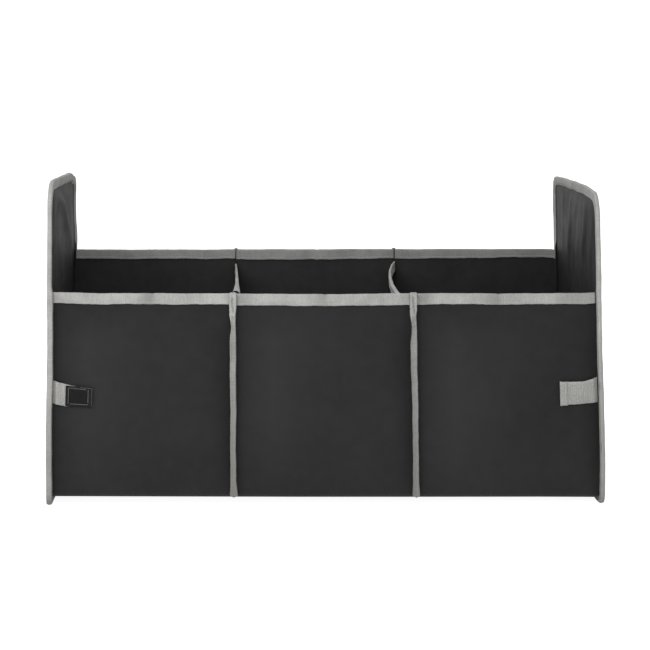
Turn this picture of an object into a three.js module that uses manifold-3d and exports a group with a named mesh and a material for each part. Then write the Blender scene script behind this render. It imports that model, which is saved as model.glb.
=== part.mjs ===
// Collapsible organizer for a car boot: two tall stiff ends, three open bays, two cloth dividers.
// Millimetres, +Z up, +X along the long side, -Y is the front. The origin lies on the ground
// under the middle of the organizer.
//
// Every bay is one cloth that runs down the front, under the floor and up the back. Its side
// edges turn outward into the seams, where grey tape folds over all the layers of the seam.
// A lining stands inside each bay, and flat stiffeners fill the pocket between the two cloths.

import * as THREE from 'three';
import { mergeVertices } from 'three/addons/utils/BufferGeometryUtils.js';
import Module from 'manifold-3d';

const wasm = await Module();
wasm.setup();

// Overall sizes
const widthAtRim = 574.4;
const extraWidthAtGround = 13.6;
const bayDepth = 290;
const frontRimHeight = 225;
const backRimHeight = 247.6;
const endHeight = 336.6;
const dividerLeftX = -96;
const dividerRightX = 92.4;

// Sheet goods
const clothThickness = 0.5;
const dividerThickness = 1;
const tapeThickness = 0.5;
const stiffenerThickness = 1.2;
const endBoardThickness = 1.2;
const baseBoardThickness = 2.5;
const webbingThickness = 1.2;

// Clearance between pieces that are sewn or laid together
const seamGap = 0.3;

// Seams and tape
const endSeamWidth = 9.6;
const dividerSeamWidth = 7.5;
const rimTapeHeight = 12.2;
const dividerTapeHeight = 11;
const dividerSeamProud = 0.4;

// Bends and corners
const floorBendRadius = 5;
const endFrontRadius = 32;
const endBackRadius = 22;
const boardCornerRadius = 6;
const baseBoardCornerRadius = 8;
const rightDividerBow = 13;

// Stiffeners and base boards
const stiffenerMargin = 4;
const foldGap = 6;
const endBoardMargin = 3;
const baseBoardMargin = 2;

// Closure tabs at the outer edges of the front
const webbingWidth = 25;
const tabHeight = 120;
const tabLength = 40;
const tabDroop = THREE.MathUtils.degToRad(5);
const hookPatchLength = 28;
const hookPatchWidth = 22;
const hookPatchThickness = 1.5;
const hookPatchOverlap = 13;
const loopPatchLength = 22;
const loopPatchWidth = 22;
const loopPatchThickness = 1;
const hemLength = 7.5;

// How finely curves are cut
const bowSteps = 16;
const endArcSteps = 6;
const boardArcSteps = 3;
const floorArcSteps = 3;

// Places that follow from the sizes above
const tapeInset = tapeThickness + seamGap;
const halfDepth = bayDepth / 2;
const floorHeight = endSeamWidth;
const outerX = widthAtRim / 2;
const endOuterClothX = outerX - tapeInset;
const endBoardX = endOuterClothX - clothThickness - seamGap;
const endInnerClothX = endBoardX - endBoardThickness - seamGap;
const endFlangeX = endInnerClothX - clothThickness - seamGap;
const endInnerTapeX = endFlangeX - clothThickness - seamGap;
const endTapeFaceX = endInnerTapeX - tapeThickness;
const endLiningX = endFlangeX;
const wallLiningInset = clothThickness + seamGap + stiffenerThickness + seamGap;
const wallThickness = wallLiningInset + clothThickness;
const liningFloorInset = clothThickness + seamGap;
const seamBottom = floorHeight + tapeInset;
const liningFlangeOffset = dividerThickness / 2 + seamGap;
const clothFlangeOffset = liningFlangeOffset + clothThickness + seamGap;
const dividerTapeOffset = clothFlangeOffset + clothThickness + seamGap;
const dividerSeamHalf = dividerTapeOffset + tapeThickness;
const dividerReach = halfDepth + dividerSeamWidth - tapeInset;
const dividerSpan = 2 * (halfDepth - wallThickness);

const walls = [
  { name: 'front', side: -1, rim: frontRimHeight },
  { name: 'back', side: 1, rim: backRimHeight },
];

const dividers = [
  { name: 'left', x: dividerLeftX, bow: 0 },
  { name: 'right', x: dividerRightX, bow: -rightDividerBow },
];

const bays = [
  { name: 'left', from: endEdge(-1), to: dividerEdge(dividerLeftX, 1) },
  { name: 'centre', from: dividerEdge(dividerLeftX, -1), to: dividerEdge(dividerRightX, 1) },
  { name: 'right', from: dividerEdge(dividerRightX, -1), to: endEdge(1) },
];

// A side of a bay, at an end or at a divider. The sign tells which way is out of the bay.
function endEdge(sign) {
  return { end: true, sign };
}

function dividerEdge(x, sign) {
  return { end: false, x, sign };
}

// Finishes
const finishes = {
  cloth: { color: 0x333334, roughness: 0.8, metalness: 0 },
  lining: { color: 0x2a2b2b, roughness: 0.85, metalness: 0 },
  tape: { color: 0xa9a9a5, roughness: 0.8, metalness: 0 },
  webbing: { color: 0xaeaeaa, roughness: 0.85, metalness: 0 },
  hook: { color: 0x242424, roughness: 0.95, metalness: 0 },
  board: { color: 0x6b6358, roughness: 0.9, metalness: 0 },
};

const organizer = new THREE.Group();

// The ends stand a little further apart at the ground than at the rim, and all lies between them
function spread(x, z) {
  const share = extraWidthAtGround / widthAtRim;
  return x * (1 + share * (1 - z / frontRimHeight));
}

// Moves each vertex along X to the place that `change` gives for it
function eachVertex(geometry, change) {
  const points = geometry.attributes.position;
  for (let i = 0; i < points.count; i += 1) {
    points.setX(i, change(points.getX(i), points.getY(i), points.getZ(i)));
  }
}

// Spreads a piece with the rest and hangs it in its group, its mesh centred on its own place
function place(group, name, geometry, finish) {
  eachVertex(geometry, (x, y, z) => spread(x, z));
  geometry.computeBoundingBox();
  const centre = geometry.boundingBox.getCenter(new THREE.Vector3());
  geometry.translate(-centre.x, -centre.y, -centre.z);
  geometry.computeVertexNormals();
  const mesh = new THREE.Mesh(geometry, new THREE.MeshStandardMaterial(finishes[finish]));
  mesh.name = name;
  mesh.position.copy(centre);
  group.add(mesh);
}

function subGroup() {
  const group = new THREE.Group();
  organizer.add(group);
  return group;
}

// Solids

function toSolid(geometry) {
  const bare = geometry.clone();
  bare.deleteAttribute('normal');
  bare.deleteAttribute('uv');
  const merged = mergeVertices(bare);
  return new wasm.Manifold(new wasm.Mesh({
    numProp: 3,
    vertProperties: new Float32Array(merged.attributes.position.array),
    triVerts: new Uint32Array(merged.index.array),
  }));
}

function toGeometry(solid) {
  const mesh = solid.getMesh();
  const geometry = new THREE.BufferGeometry();
  geometry.setAttribute('position', new THREE.BufferAttribute(mesh.vertProperties, 3));
  geometry.setIndex(new THREE.BufferAttribute(mesh.triVerts, 1));
  return geometry;
}

function joined(geometries) {
  const solids = geometries.map(toSolid);
  return toGeometry(solids.reduce((whole, piece) => whole.add(piece)));
}

function cut(geometry, hollow) {
  return toGeometry(toSolid(geometry).subtract(toSolid(hollow)));
}

function ordered(...values) {
  return values.sort((a, b) => a - b);
}

function box(x, y, z) {
  const geometry = new THREE.BoxGeometry(x[1] - x[0], y[1] - y[0], z[1] - z[0]);
  geometry.translate((x[0] + x[1]) / 2, (y[0] + y[1]) / 2, (z[0] + z[1]) / 2);
  return geometry;
}

// A flat shape drawn in Y and Z, extruded along X
function acrossX(shape, fromX, toX) {
  const geometry = new THREE.ExtrudeGeometry(shape, {
    depth: toX - fromX, bevelEnabled: false, curveSegments: endArcSteps,
  });
  const turn = new THREE.Matrix4().makeBasis(
    new THREE.Vector3(0, 1, 0), new THREE.Vector3(0, 0, 1), new THREE.Vector3(1, 0, 0));
  geometry.applyMatrix4(turn);
  geometry.translate(fromX, 0, 0);
  return geometry;
}

// A flat shape drawn in X and Z, extruded along Y
function acrossY(shape, fromY, toY, steps = 1) {
  const geometry = new THREE.ExtrudeGeometry(shape, {
    depth: toY - fromY, steps, bevelEnabled: false, curveSegments: boardArcSteps,
  });
  geometry.rotateX(Math.PI / 2);
  geometry.translate(0, toY, 0);
  return geometry;
}

// Outlines

// The run of a bay's cloth in Y and Z, from the front rim under the floor to the back rim. It lies
// `out` outside the wall faces and `down` below the floor face.
function bayRun(out, down, frontTop, backTop) {
  const radius = Math.max(floorBendRadius + out, clothThickness);
  const side = halfDepth + out;
  const bottom = floorHeight - down;
  const path = new THREE.Path();
  path.moveTo(-side, frontTop);
  path.lineTo(-side, bottom + radius);
  path.absarc(-side + radius, bottom + radius, radius, Math.PI, Math.PI * 1.5, false);
  path.lineTo(side - radius, bottom);
  path.absarc(side - radius, bottom + radius, radius, Math.PI * 1.5, Math.PI * 2, false);
  path.lineTo(side, backTop);
  return path.getPoints(floorArcSteps);
}

// The cut face of a bay's cloth between two such runs
function bayBand(outer, inner) {
  const frontTop = frontRimHeight - tapeInset;
  const backTop = backRimHeight - tapeInset;
  const outside = bayRun(outer.out, outer.down, frontTop, backTop);
  const inside = bayRun(inner.out, inner.down, frontTop, backTop);
  return new THREE.Shape([...outside, ...inside.reverse()]);
}

// The outline of an end, `inset` inside the outer edge of its tape. The lower corners are
// concentric with the bends of the floor cloth.
function endOutline(inset) {
  const side = halfDepth + endSeamWidth - inset;
  const top = endHeight - inset;
  const front = endFrontRadius - inset;
  const back = endBackRadius - inset;
  const low = floorBendRadius + endSeamWidth - inset;
  const shape = new THREE.Shape();
  shape.absarc(-side + low, inset + low, low, Math.PI, Math.PI * 1.5, false);
  shape.absarc(side - low, inset + low, low, Math.PI * 1.5, Math.PI * 2, false);
  shape.absarc(side - back, top - back, back, 0, Math.PI / 2, false);
  shape.absarc(-side + front, top - front, front, Math.PI / 2, Math.PI, false);
  shape.closePath();
  return shape;
}

function roundedRectangle(x0, x1, y0, y1, radius) {
  const shape = new THREE.Shape();
  shape.absarc(x0 + radius, y0 + radius, radius, Math.PI, Math.PI * 1.5, false);
  shape.absarc(x1 - radius, y0 + radius, radius, Math.PI * 1.5, Math.PI * 2, false);
  shape.absarc(x1 - radius, y1 - radius, radius, 0, Math.PI / 2, false);
  shape.absarc(x0 + radius, y1 - radius, radius, Math.PI / 2, Math.PI, false);
  shape.closePath();
  return shape;
}

// Tape folded over an edge: an upside-down channel with softly rounded folds
function foldedTape(from, to, top, height) {
  const fold = tapeThickness + seamGap;
  const shape = new THREE.Shape();
  shape.moveTo(from, top - height);
  shape.lineTo(from, top - fold);
  shape.absarc(from + fold, top - fold, fold, Math.PI, Math.PI / 2, true);
  shape.lineTo(to - fold, top);
  shape.absarc(to - fold, top - fold, fold, Math.PI / 2, 0, true);
  shape.lineTo(to, top - height);
  shape.lineTo(to - tapeThickness, top - height);
  shape.lineTo(to - tapeThickness, top - tapeThickness);
  shape.lineTo(from + tapeThickness, top - tapeThickness);
  shape.lineTo(from + tapeThickness, top - height);
  shape.closePath();
  return shape;
}

// Ends

function makeEnd(name, sign) {
  const group = subGroup();
  const plate = (inset, outer, thickness) => {
    const x = ordered(sign * (outer - thickness), sign * outer);
    return acrossX(endOutline(inset), ...x);
  };
  place(group, `${name}_end_outer_cloth`, plate(tapeInset, endOuterClothX, clothThickness), 'cloth');
  place(group, `${name}_end_board`, plate(tapeInset + endBoardMargin, endBoardX, endBoardThickness), 'board');
  place(group, `${name}_end_inner_cloth`, plate(tapeInset, endInnerClothX, clothThickness), 'lining');
  place(group, `${name}_end_edge_tape`, endTape(sign), 'tape');
}

// The tape runs all round the end and is open only towards its middle
function endTape(sign) {
  const ring = endOutline(0);
  ring.holes.push(endOutline(endSeamWidth - seamGap));
  const [from, to] = ordered(sign * endTapeFaceX, sign * outerX);
  const layers = acrossX(endOutline(tapeThickness), from + tapeThickness, to - tapeThickness);
  return cut(acrossX(ring, from, to), layers);
}

// Bays

// Where a bay's cloth or lining turns outward into the seam at one of its sides
function sideOf(edge, endX, dividerOffset) {
  return edge.end ? edge.sign * endX : edge.x - edge.sign * dividerOffset;
}

// The strip of a wall's cloth that stands out of the wall, in the seam at a divider
function dividerFlanges(edge, offset, inset) {
  const face = edge.x - edge.sign * offset;
  const x = ordered(face, face - edge.sign * clothThickness);
  return walls.map((wall) => {
    const y = ordered(wall.side * (halfDepth - inset - clothThickness), wall.side * dividerReach);
    return box(x, y, [seamBottom, wall.rim - tapeInset]);
  });
}

// The strip of an outer bay's cloth that turns outward all round, into the seam of the end
function endFlange(edge) {
  const reach = endSeamWidth - tapeInset;
  const x = ordered(edge.sign * endFlangeX, edge.sign * (endFlangeX - clothThickness));
  const band = bayBand({ out: reach, down: reach }, { out: -clothThickness, down: -clothThickness });
  return acrossX(band, x[0], x[1]);
}

// The floor cloths of two bays meet under the divider
function floorEdge(edge) {
  const near = edge.x - edge.sign * (seamGap / 2);
  const far = edge.x - edge.sign * (clothFlangeOffset + clothThickness);
  const y = halfDepth - floorBendRadius;
  return box(ordered(near, far), [-y, y], [floorHeight, floorHeight + clothThickness]);
}

function bayCloth(bay) {
  const edges = [bay.from, bay.to];
  const band = bayBand({ out: 0, down: 0 }, { out: -clothThickness, down: -clothThickness });
  const sides = edges.map((edge) => sideOf(edge, endFlangeX, clothFlangeOffset));
  const pieces = [acrossX(band, sides[0], sides[1])];
  for (const edge of edges) {
    if (edge.end) {
      pieces.push(endFlange(edge));
    } else {
      pieces.push(...dividerFlanges(edge, clothFlangeOffset, 0), floorEdge(edge));
    }
  }
  return joined(pieces);
}

function bayLining(bay) {
  const edges = [bay.from, bay.to];
  const band = bayBand(
    { out: -wallLiningInset, down: -liningFloorInset },
    { out: -wallThickness, down: -liningFloorInset - clothThickness });
  const sides = edges.map((edge) => sideOf(edge, endLiningX, liningFlangeOffset));
  const pieces = [acrossX(band, sides[0], sides[1])];
  for (const edge of edges.filter((side) => !side.end)) {
    pieces.push(...dividerFlanges(edge, liningFlangeOffset, wallLiningInset));
  }
  return joined(pieces);
}

// Two stiffeners stand side by side in each wall, and the wall folds between them
function wallStiffeners(group, bay) {
  const [left, right] = [bay.from, bay.to].map((edge) => (
    sideOf(edge, endFlangeX, clothFlangeOffset) - edge.sign * stiffenerMargin));
  const middle = (left + right) / 2;
  const halves = [['a', left, middle - foldGap / 2], ['b', middle + foldGap / 2, right]];
  for (const wall of walls) {
    const near = wall.side * (halfDepth - clothThickness - seamGap);
    const far = wall.side * (halfDepth - clothThickness - seamGap - stiffenerThickness);
    const bottom = floorHeight + floorBendRadius;
    const top = wall.rim - tapeInset - stiffenerMargin;
    for (const [half, x0, x1] of halves) {
      const shape = roundedRectangle(x0, x1, bottom, top, boardCornerRadius);
      const geometry = acrossY(shape, ...ordered(near, far));
      place(group, `${bay.name}_bay_${wall.name}_stiffener_${half}`, geometry, 'board');
    }
  }
}

function baseBoard(bay) {
  const [left, right] = [bay.from, bay.to].map((edge) => (
    sideOf(edge, endLiningX, liningFlangeOffset) - edge.sign * baseBoardMargin));
  const y = halfDepth - wallThickness - baseBoardMargin;
  const shape = roundedRectangle(left, right, -y, y, baseBoardCornerRadius);
  const geometry = new THREE.ExtrudeGeometry(shape, {
    depth: baseBoardThickness, bevelEnabled: false, curveSegments: boardArcSteps,
  });
  geometry.translate(0, 0, floorHeight + liningFloorInset + clothThickness + seamGap);
  return geometry;
}

// Tape over the rim of one wall of one bay, from seam to seam
function rimTape(bay, wall) {
  const [from, to] = [bay.from, bay.to].map((edge) => (
    sideOf(edge, endTapeFaceX, dividerSeamHalf) - edge.sign * seamGap));
  const outside = wall.side * (halfDepth + tapeInset);
  const inside = wall.side * (halfDepth - wallThickness - tapeInset);
  const shape = foldedTape(...ordered(outside, inside), wall.rim, rimTapeHeight);
  return acrossX(shape, from, to);
}

function makeBay(bay) {
  const group = subGroup();
  place(group, `${bay.name}_bay_cloth`, bayCloth(bay), 'cloth');
  place(group, `${bay.name}_bay_lining`, bayLining(bay), 'lining');
  wallStiffeners(group, bay);
  place(group, `${bay.name}_bay_base_board`, baseBoard(bay), 'lining');
  for (const wall of walls) {
    place(group, `${bay.name}_bay_${wall.name}_rim_tape`, rimTape(bay, wall), 'tape');
  }
}

// Dividers

// A slack divider bows sideways, most at its middle and top, and not at all at the floor
function bowed(divider, geometry) {
  eachVertex(geometry, (x, y, z) => {
    const along = (y + dividerSpan / 2) / dividerSpan;
    const height = (z - floorHeight) / (frontRimHeight - floorHeight);
    return x + divider.bow * Math.sin(Math.PI * along) * height;
  });
  return geometry;
}

function dividerCloth(divider) {
  const bottom = floorHeight + liningFloorInset;
  const top = frontRimHeight - tapeInset;
  const middle = new THREE.BoxGeometry(dividerThickness, dividerSpan, top - bottom, 1, bowSteps, 4);
  middle.translate(divider.x, 0, (bottom + top) / 2);
  const x = [divider.x - dividerThickness / 2, divider.x + dividerThickness / 2];
  const flanges = walls.map((wall) => {
    const y = ordered(wall.side * (dividerSpan / 2 - clothThickness), wall.side * dividerReach);
    return box(x, y, [seamBottom, top]);
  });
  return joined([bowed(divider, middle), ...flanges]);
}

function dividerTopTape(divider) {
  const half = dividerThickness / 2 + tapeInset;
  const reach = dividerSpan / 2 - seamGap;
  const shape = foldedTape(divider.x - half, divider.x + half, frontRimHeight, dividerTapeHeight);
  return bowed(divider, acrossY(shape, -reach, reach, bowSteps));
}

// Tape over the seam that stands out of a wall at a divider, closed at its top and bottom
function dividerSeamTape(divider, wall) {
  const top = wall.rim + dividerSeamProud;
  const root = wall.side * (halfDepth + seamGap);
  const edge = wall.side * (halfDepth + dividerSeamWidth);
  const tape = box(
    [divider.x - dividerSeamHalf, divider.x + dividerSeamHalf],
    ordered(root, edge),
    [floorHeight, top]);
  const layers = box(
    [divider.x - dividerTapeOffset, divider.x + dividerTapeOffset],
    ordered(root - wall.side * tapeInset, edge - wall.side * tapeThickness),
    [floorHeight + tapeThickness, top - tapeThickness]);
  return cut(tape, layers);
}

function makeDivider(divider) {
  const group = subGroup();
  place(group, `${divider.name}_divider_cloth`, dividerCloth(divider), 'lining');
  place(group, `${divider.name}_divider_top_tape`, dividerTopTape(divider), 'tape');
  for (const wall of walls) {
    place(group, `${divider.name}_divider_${wall.name}_seam_tape`, dividerSeamTape(divider, wall), 'tape');
  }
}

// Closure tabs

// A flat piece of a tab. `along` runs from the seam of the end towards the middle, `out` away from
// the wall, and the tab droops about its root.
function tabPiece(sign, along, out, width) {
  const geometry = box(along, [-out[1], -out[0]], [-width / 2, width / 2]);
  return tabPlaced(sign, geometry);
}

// Turns a tab about its root and sets it at the seam of its end
function tabPlaced(sign, geometry) {
  const rootX = endTapeFaceX - seamGap - Math.sin(tabDroop) * webbingWidth / 2;
  if (sign > 0) {
    geometry.rotateZ(Math.PI);
    geometry.rotateX(Math.PI);
  }
  geometry.rotateY(-sign * tabDroop);
  geometry.translate(sign * rootX, -halfDepth, tabHeight);
  return geometry;
}

function makeHookTab() {
  const group = subGroup();
  const webbingOut = [seamGap, seamGap + webbingThickness];
  const patchOut = [webbingOut[1] + seamGap, webbingOut[1] + seamGap + hookPatchThickness];
  const patchStart = tabLength - hookPatchLength;
  const webbing = tabPiece(-1, [0, patchStart + hookPatchOverlap], webbingOut, webbingWidth);
  place(group, 'left_tab_webbing', webbing, 'webbing');
  const patch = tabPiece(-1, [patchStart, tabLength], patchOut, hookPatchWidth);
  place(group, 'left_tab_hook_patch', patch, 'hook');
}

function makeLoopTab() {
  const group = subGroup();
  const patchOut = [seamGap, seamGap + loopPatchThickness];
  const webbingOut = [patchOut[1] + seamGap, patchOut[1] + seamGap + webbingThickness];
  const width = [-webbingWidth / 2, webbingWidth / 2];
  const strip = box([0, tabLength], [-webbingOut[1], -webbingOut[0]], width);
  const hemY = [-webbingOut[1] - webbingThickness, -webbingOut[0]];
  const hem = box([tabLength - hemLength, tabLength], hemY, width);
  place(group, 'right_tab_webbing', tabPlaced(1, joined([strip, hem])), 'webbing');
  const patchStart = tabLength - hemLength - loopPatchLength;
  const patch = tabPiece(1, [patchStart, patchStart + loopPatchLength], patchOut, loopPatchWidth);
  place(group, 'right_tab_loop_patch', patch, 'hook');
}

makeEnd('left', -1);
makeEnd('right', 1);
bays.forEach(makeBay);
dividers.forEach(makeDivider);
makeHookTab();
makeLoopTab();

export default organizer;
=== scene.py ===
"""Car trunk organizer: the sewn cloth, tape, webbing and boards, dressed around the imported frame.

Sizes are in millimetres until a mesh is made. Every grid of points is laid out straight, as the
part's source lays out its solids, and `settle` then gives it the slight lean of the real thing.
"""

import logging
import math
from collections.abc import Callable
from dataclasses import dataclass, field
from enum import Enum

import bmesh
import bpy
import numpy as np
from mathutils import Matrix, Vector


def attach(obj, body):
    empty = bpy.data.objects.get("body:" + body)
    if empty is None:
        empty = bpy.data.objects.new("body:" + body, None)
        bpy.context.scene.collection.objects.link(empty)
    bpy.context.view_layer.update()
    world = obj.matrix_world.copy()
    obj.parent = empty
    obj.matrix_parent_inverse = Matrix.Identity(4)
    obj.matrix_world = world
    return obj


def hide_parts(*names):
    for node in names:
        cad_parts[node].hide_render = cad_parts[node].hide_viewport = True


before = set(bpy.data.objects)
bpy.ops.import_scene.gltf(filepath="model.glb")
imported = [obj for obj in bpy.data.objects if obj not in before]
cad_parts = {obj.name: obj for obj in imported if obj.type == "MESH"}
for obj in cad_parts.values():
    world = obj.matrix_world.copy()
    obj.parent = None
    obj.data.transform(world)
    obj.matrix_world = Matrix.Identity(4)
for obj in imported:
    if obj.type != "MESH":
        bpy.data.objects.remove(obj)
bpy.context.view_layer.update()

LOG = logging.getLogger("organizer")
MM = 0.001
UV_NAME = "cloth_uv"
SHADE_NAME = "crease_shade"

Rows = tuple[tuple[float, float], ...]
Triple = tuple[float, float, float]
Seam = tuple[np.ndarray, np.ndarray]


# Sizes

@dataclass(frozen=True)
class Plan:
    """The organizer's sizes in millimetres, as its solids have them."""

    half_width: float = 287.2
    ground_share: float = 13.6 / 574.4
    half_depth: float = 145.0
    floor_height: float = 9.6
    front_rim: float = 225.0
    back_rim: float = 247.6
    end_height: float = 336.6
    left_divider: float = -96.0
    right_divider: float = 92.4
    end_seam: float = 9.6
    divider_seam: float = 7.5
    cloth: float = 0.5
    tape: float = 0.5
    rim_tape: float = 12.2
    end_front_radius: float = 32.0
    end_back_radius: float = 22.0
    end_low_radius: float = 14.6
    floor_bend: float = 5.0
    outer_cloth_x: float = 286.4
    inner_cloth_x: float = 283.6
    board_x: float = 285.6
    flange_x: float = 283.3
    tape_face_x: float = 282.0
    lining_face: float = 142.2
    divider_seam_half: float = 2.9
    board_low: float = 11.2
    board_high: float = 13.7


PLAN = Plan()


class Wall(Enum):
    """The two long walls, by the sign of Y that points out of them."""

    FRONT = -1
    BACK = 1

    @property
    def rim(self) -> float:
        """Height of the wall's rim."""
        return PLAN.front_rim if self is Wall.FRONT else PLAN.back_rim


class End(Enum):
    """The two tall ends, by the sign of X that points out of them."""

    LEFT = -1
    RIGHT = 1


class Slot(Enum):
    """The record's material slots."""

    OUTER = "outer_cloth"
    LINING = "lining_cloth"
    TAPE = "binding_tape"
    WEBBING = "webbing"
    HOOK = "hook_patch"
    BOARD = "stiffener_board"
    BASE = "base_board"


# Small curves and waves

def ease(t: np.ndarray) -> np.ndarray:
    """A soft step from 0 to 1."""
    t = np.clip(t, 0.0, 1.0)
    return t * t * (3.0 - 2.0 * t)


def bell(t: np.ndarray) -> np.ndarray:
    """A soft hump of height 1 about 0."""
    return np.exp(-np.square(t))


def waves(t: np.ndarray, seed: int, lengths: tuple[float, ...]) -> np.ndarray:
    """Adds up soft waves that never repeat in step.

    Args:
        t: Distance along the edge or seam.
        seed: Chooses the phases.
        lengths: Wave lengths, the longest with the most height.

    Returns:
        The wave's height at each distance, within about -1 to 1.
    """
    draw = np.random.default_rng(seed)
    total = np.zeros_like(np.asarray(t, float))
    weight = 0.0
    for length in lengths:
        share = math.sqrt(length)
        total = total + share * np.sin(2 * math.pi * t / length + draw.uniform(0, 6.28))
        weight += share
    return total / weight


def puckers(u: np.ndarray, v: np.ndarray, seed: int, shortest: float, longest: float,
            count: int = 9) -> np.ndarray:
    """Adds up soft waves that run in many directions over a cloth.

    Args:
        u: Distance across the cloth.
        v: Distance along the cloth.
        seed: Chooses directions and phases.
        shortest: Shortest wave length.
        longest: Longest wave length.
        count: How many waves.

    Returns:
        Heights within about -1 to 1.
    """
    draw = np.random.default_rng(seed)
    total = np.zeros(np.broadcast(u, v).shape)
    for _ in range(count):
        length = draw.uniform(shortest, longest)
        turn = draw.uniform(0, math.pi)
        total = total + np.sin(2 * math.pi * (u * math.cos(turn) + v * math.sin(turn)) / length
                               + draw.uniform(0, 6.28))
    return total / math.sqrt(count) / 1.6


def fold_line(u: np.ndarray, v: np.ndarray, guide: Rows,
              width: float) -> np.ndarray:
    """A soft fold that follows a line drawn on the cloth.

    Args:
        u: First coordinate of each point of the cloth.
        v: Second coordinate of each point.
        guide: Points of the line.
        width: How far the fold reaches to each side.

    Returns:
        Heights from 0 to 1, fading out at both ends of the line.
    """
    best = np.full(np.broadcast(u, v).shape, 1e9)
    share = np.zeros_like(best)
    parts = len(guide) - 1
    for index, (start, end) in enumerate(zip(guide[:-1], guide[1:])):
        du, dv = end[0] - start[0], end[1] - start[1]
        along = np.clip(((u - start[0]) * du + (v - start[1]) * dv) / (du * du + dv * dv), 0, 1)
        reach = np.hypot(u - start[0] - along * du, v - start[1] - along * dv)
        nearer = reach < best
        best = np.where(nearer, reach, best)
        share = np.where(nearer, (index + along) / parts, share)
    return bell(best / width) * np.sin(math.pi * np.clip(share * 0.92 + 0.04, 0, 1)) ** 0.6


# How the sewn thing stands

LEFT_LEAN = ((0, 1.3), (20, 1.6), (40, 0.8), (71, 0.0), (103, -0.3), (134, -0.1), (166, -0.5),
             (218, -1.7), (300, -3.0), (340, -3.2))
RIGHT_LEAN = ((0, 0.7), (17, 1.2), (38, 1.8), (70, 1.8), (102, 1.5), (134, 0.8), (165, 0.2),
              (218, 0.0), (270, 0.0), (340, -0.7))
LEFT_SEAM = ((10, 1.9), (26, 1.5), (70, 0.9), (102, 0.6), (140, -0.2), (176, -0.5), (209, -0.9),
             (230, -1.1))
RIGHT_SEAM = ((10, 1.2), (26, 1.2), (70, 0.8), (102, 0.5), (140, -0.6), (176, -1.1), (209, -1.5),
              (230, -1.6))
BACK_SEAM = {PLAN.left_divider: 1.1, PLAN.right_divider: -1.4}
FRONT_DIP = ((-284, 0.0), (-276, -0.1), (-234, -1.0), (-131, -1.2), (-84, -1.3), (-27, -2.0), (25, -1.8),
             (82, -1.1), (159, -1.05), (221, -1.2), (268, -0.4), (284, 0.0))
BACK_RISE = ((-280, 0.1), (-140, 0.2), (-85, 0.6), (-25, 0.6), (35, 0.9), (140, 1.1), (200, 1.3), (284, 1.2))
FLOOR_SAG = ((-284, 0.2), (-230, 0.6), (-130, 1.2), (-30, 1.8), (80, 2.2), (220, 2.5), (284, 3.0))
LEFT_TOP = ((-154.6, 7.0), (-148, 5.2), (-135, 4.0), (60, 3.7), (92, 1.6), (131, -2.6), (146, -3.7),
            (154.6, -5.0))
RIGHT_TOP = ((-154.6, -2.5), (-144, -3.0), (-127, -6.0), (-105, -4.7), (-79, -3.3), (-54, -2.7), (3, -2.0),
             (102, -1.6), (131, -2.3), (150, -1.0))


def table(rows: Rows, at: np.ndarray) -> np.ndarray:
    """Reads a short table of (place, value) rows, straight between them."""
    return np.interp(at, [row[0] for row in rows], [row[1] for row in rows])


def settle(points: np.ndarray) -> np.ndarray:
    """Gives straight points the spread of the ends and the slight drift of the seams.

    Args:
        points: Points in millimetres, X last but two.

    Returns:
        The points as the sewn organizer stands.
    """
    x, y, z = points[..., 0], points[..., 1], points[..., 2]
    front = np.clip(0.5 - y / (2 * PLAN.half_depth), 0, 1)
    settled = points.copy()
    settled[..., 0] = x * (1 + PLAN.ground_share * (1 - z / PLAN.front_rim))
    settled[..., 0] += table(LEFT_LEAN, z) * front * ease((-x - 190) / 85)
    settled[..., 0] += table(RIGHT_LEAN, z) * front * ease((x - 190) / 85)
    for place, rows in ((PLAN.left_divider, LEFT_SEAM), (PLAN.right_divider, RIGHT_SEAM)):
        drift = table(rows, z) * front + BACK_SEAM[place] * (1 - front)
        settled[..., 0] += drift * bell((x - place) / 45)
    inside = ease((281.5 - np.abs(x)) / 4) * ease((np.abs(y) - 128) / 11)
    dip = np.where(y < 0, table(FRONT_DIP, x) * ease((z - 160) / 50),
                   table(BACK_RISE, x) * ease((z - 180) / 50))
    settled[..., 2] += dip * inside
    settled[..., 2] -= table(FLOOR_SAG, x) * ease(z / 9) * ease((75 - z) / 60)
    top = np.where(x < 0, table(LEFT_TOP, y), table(RIGHT_TOP, y))
    settled[..., 2] += top * ease((z - 255) / 55) * ease((np.abs(x) - 270) / 8)
    back = ease((y - 40) / 90) * ease((z - 250) / 60) * ease((np.abs(x) - 270) / 8)
    settled[..., 0] += np.where(x < 0, -2.7, -0.3) * back
    return settled


# Meshes

def select_only(obj: bpy.types.Object) -> None:
    """Makes one object the only one selected and active.

    Args:
        obj: The object.
    """
    for other in bpy.context.selected_objects:
        other.select_set(False)
    obj.select_set(True)
    bpy.context.view_layer.objects.active = obj


def apply_modifier(obj: bpy.types.Object, kind: str, **settings: object) -> None:
    """Adds a modifier, sets it and applies it.

    Args:
        obj: The piece.
        kind: Blender's modifier type.
        settings: Values for the modifier.
    """
    select_only(obj)
    modifier = obj.modifiers.new(kind.title(), kind)
    for key, value in settings.items():
        setattr(modifier, key, value)
    bpy.ops.object.modifier_apply(modifier=modifier.name)


def mesh_object(name: str, verts: np.ndarray, faces: list[tuple[int, ...]]) -> bpy.types.Object:
    """Makes a smooth mesh object from points in millimetres.

    Args:
        name: The object's name.
        verts: Points in millimetres, one row each.
        faces: Point numbers of each face.

    Returns:
        The object, at the origin.
    """
    mesh = bpy.data.meshes.new(name)
    mesh.from_pydata((verts * MM).tolist(), [], faces)
    mesh.update()
    mesh.shade_smooth()
    obj = bpy.data.objects.new(name, mesh)
    bpy.context.scene.collection.objects.link(obj)
    return obj


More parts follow.
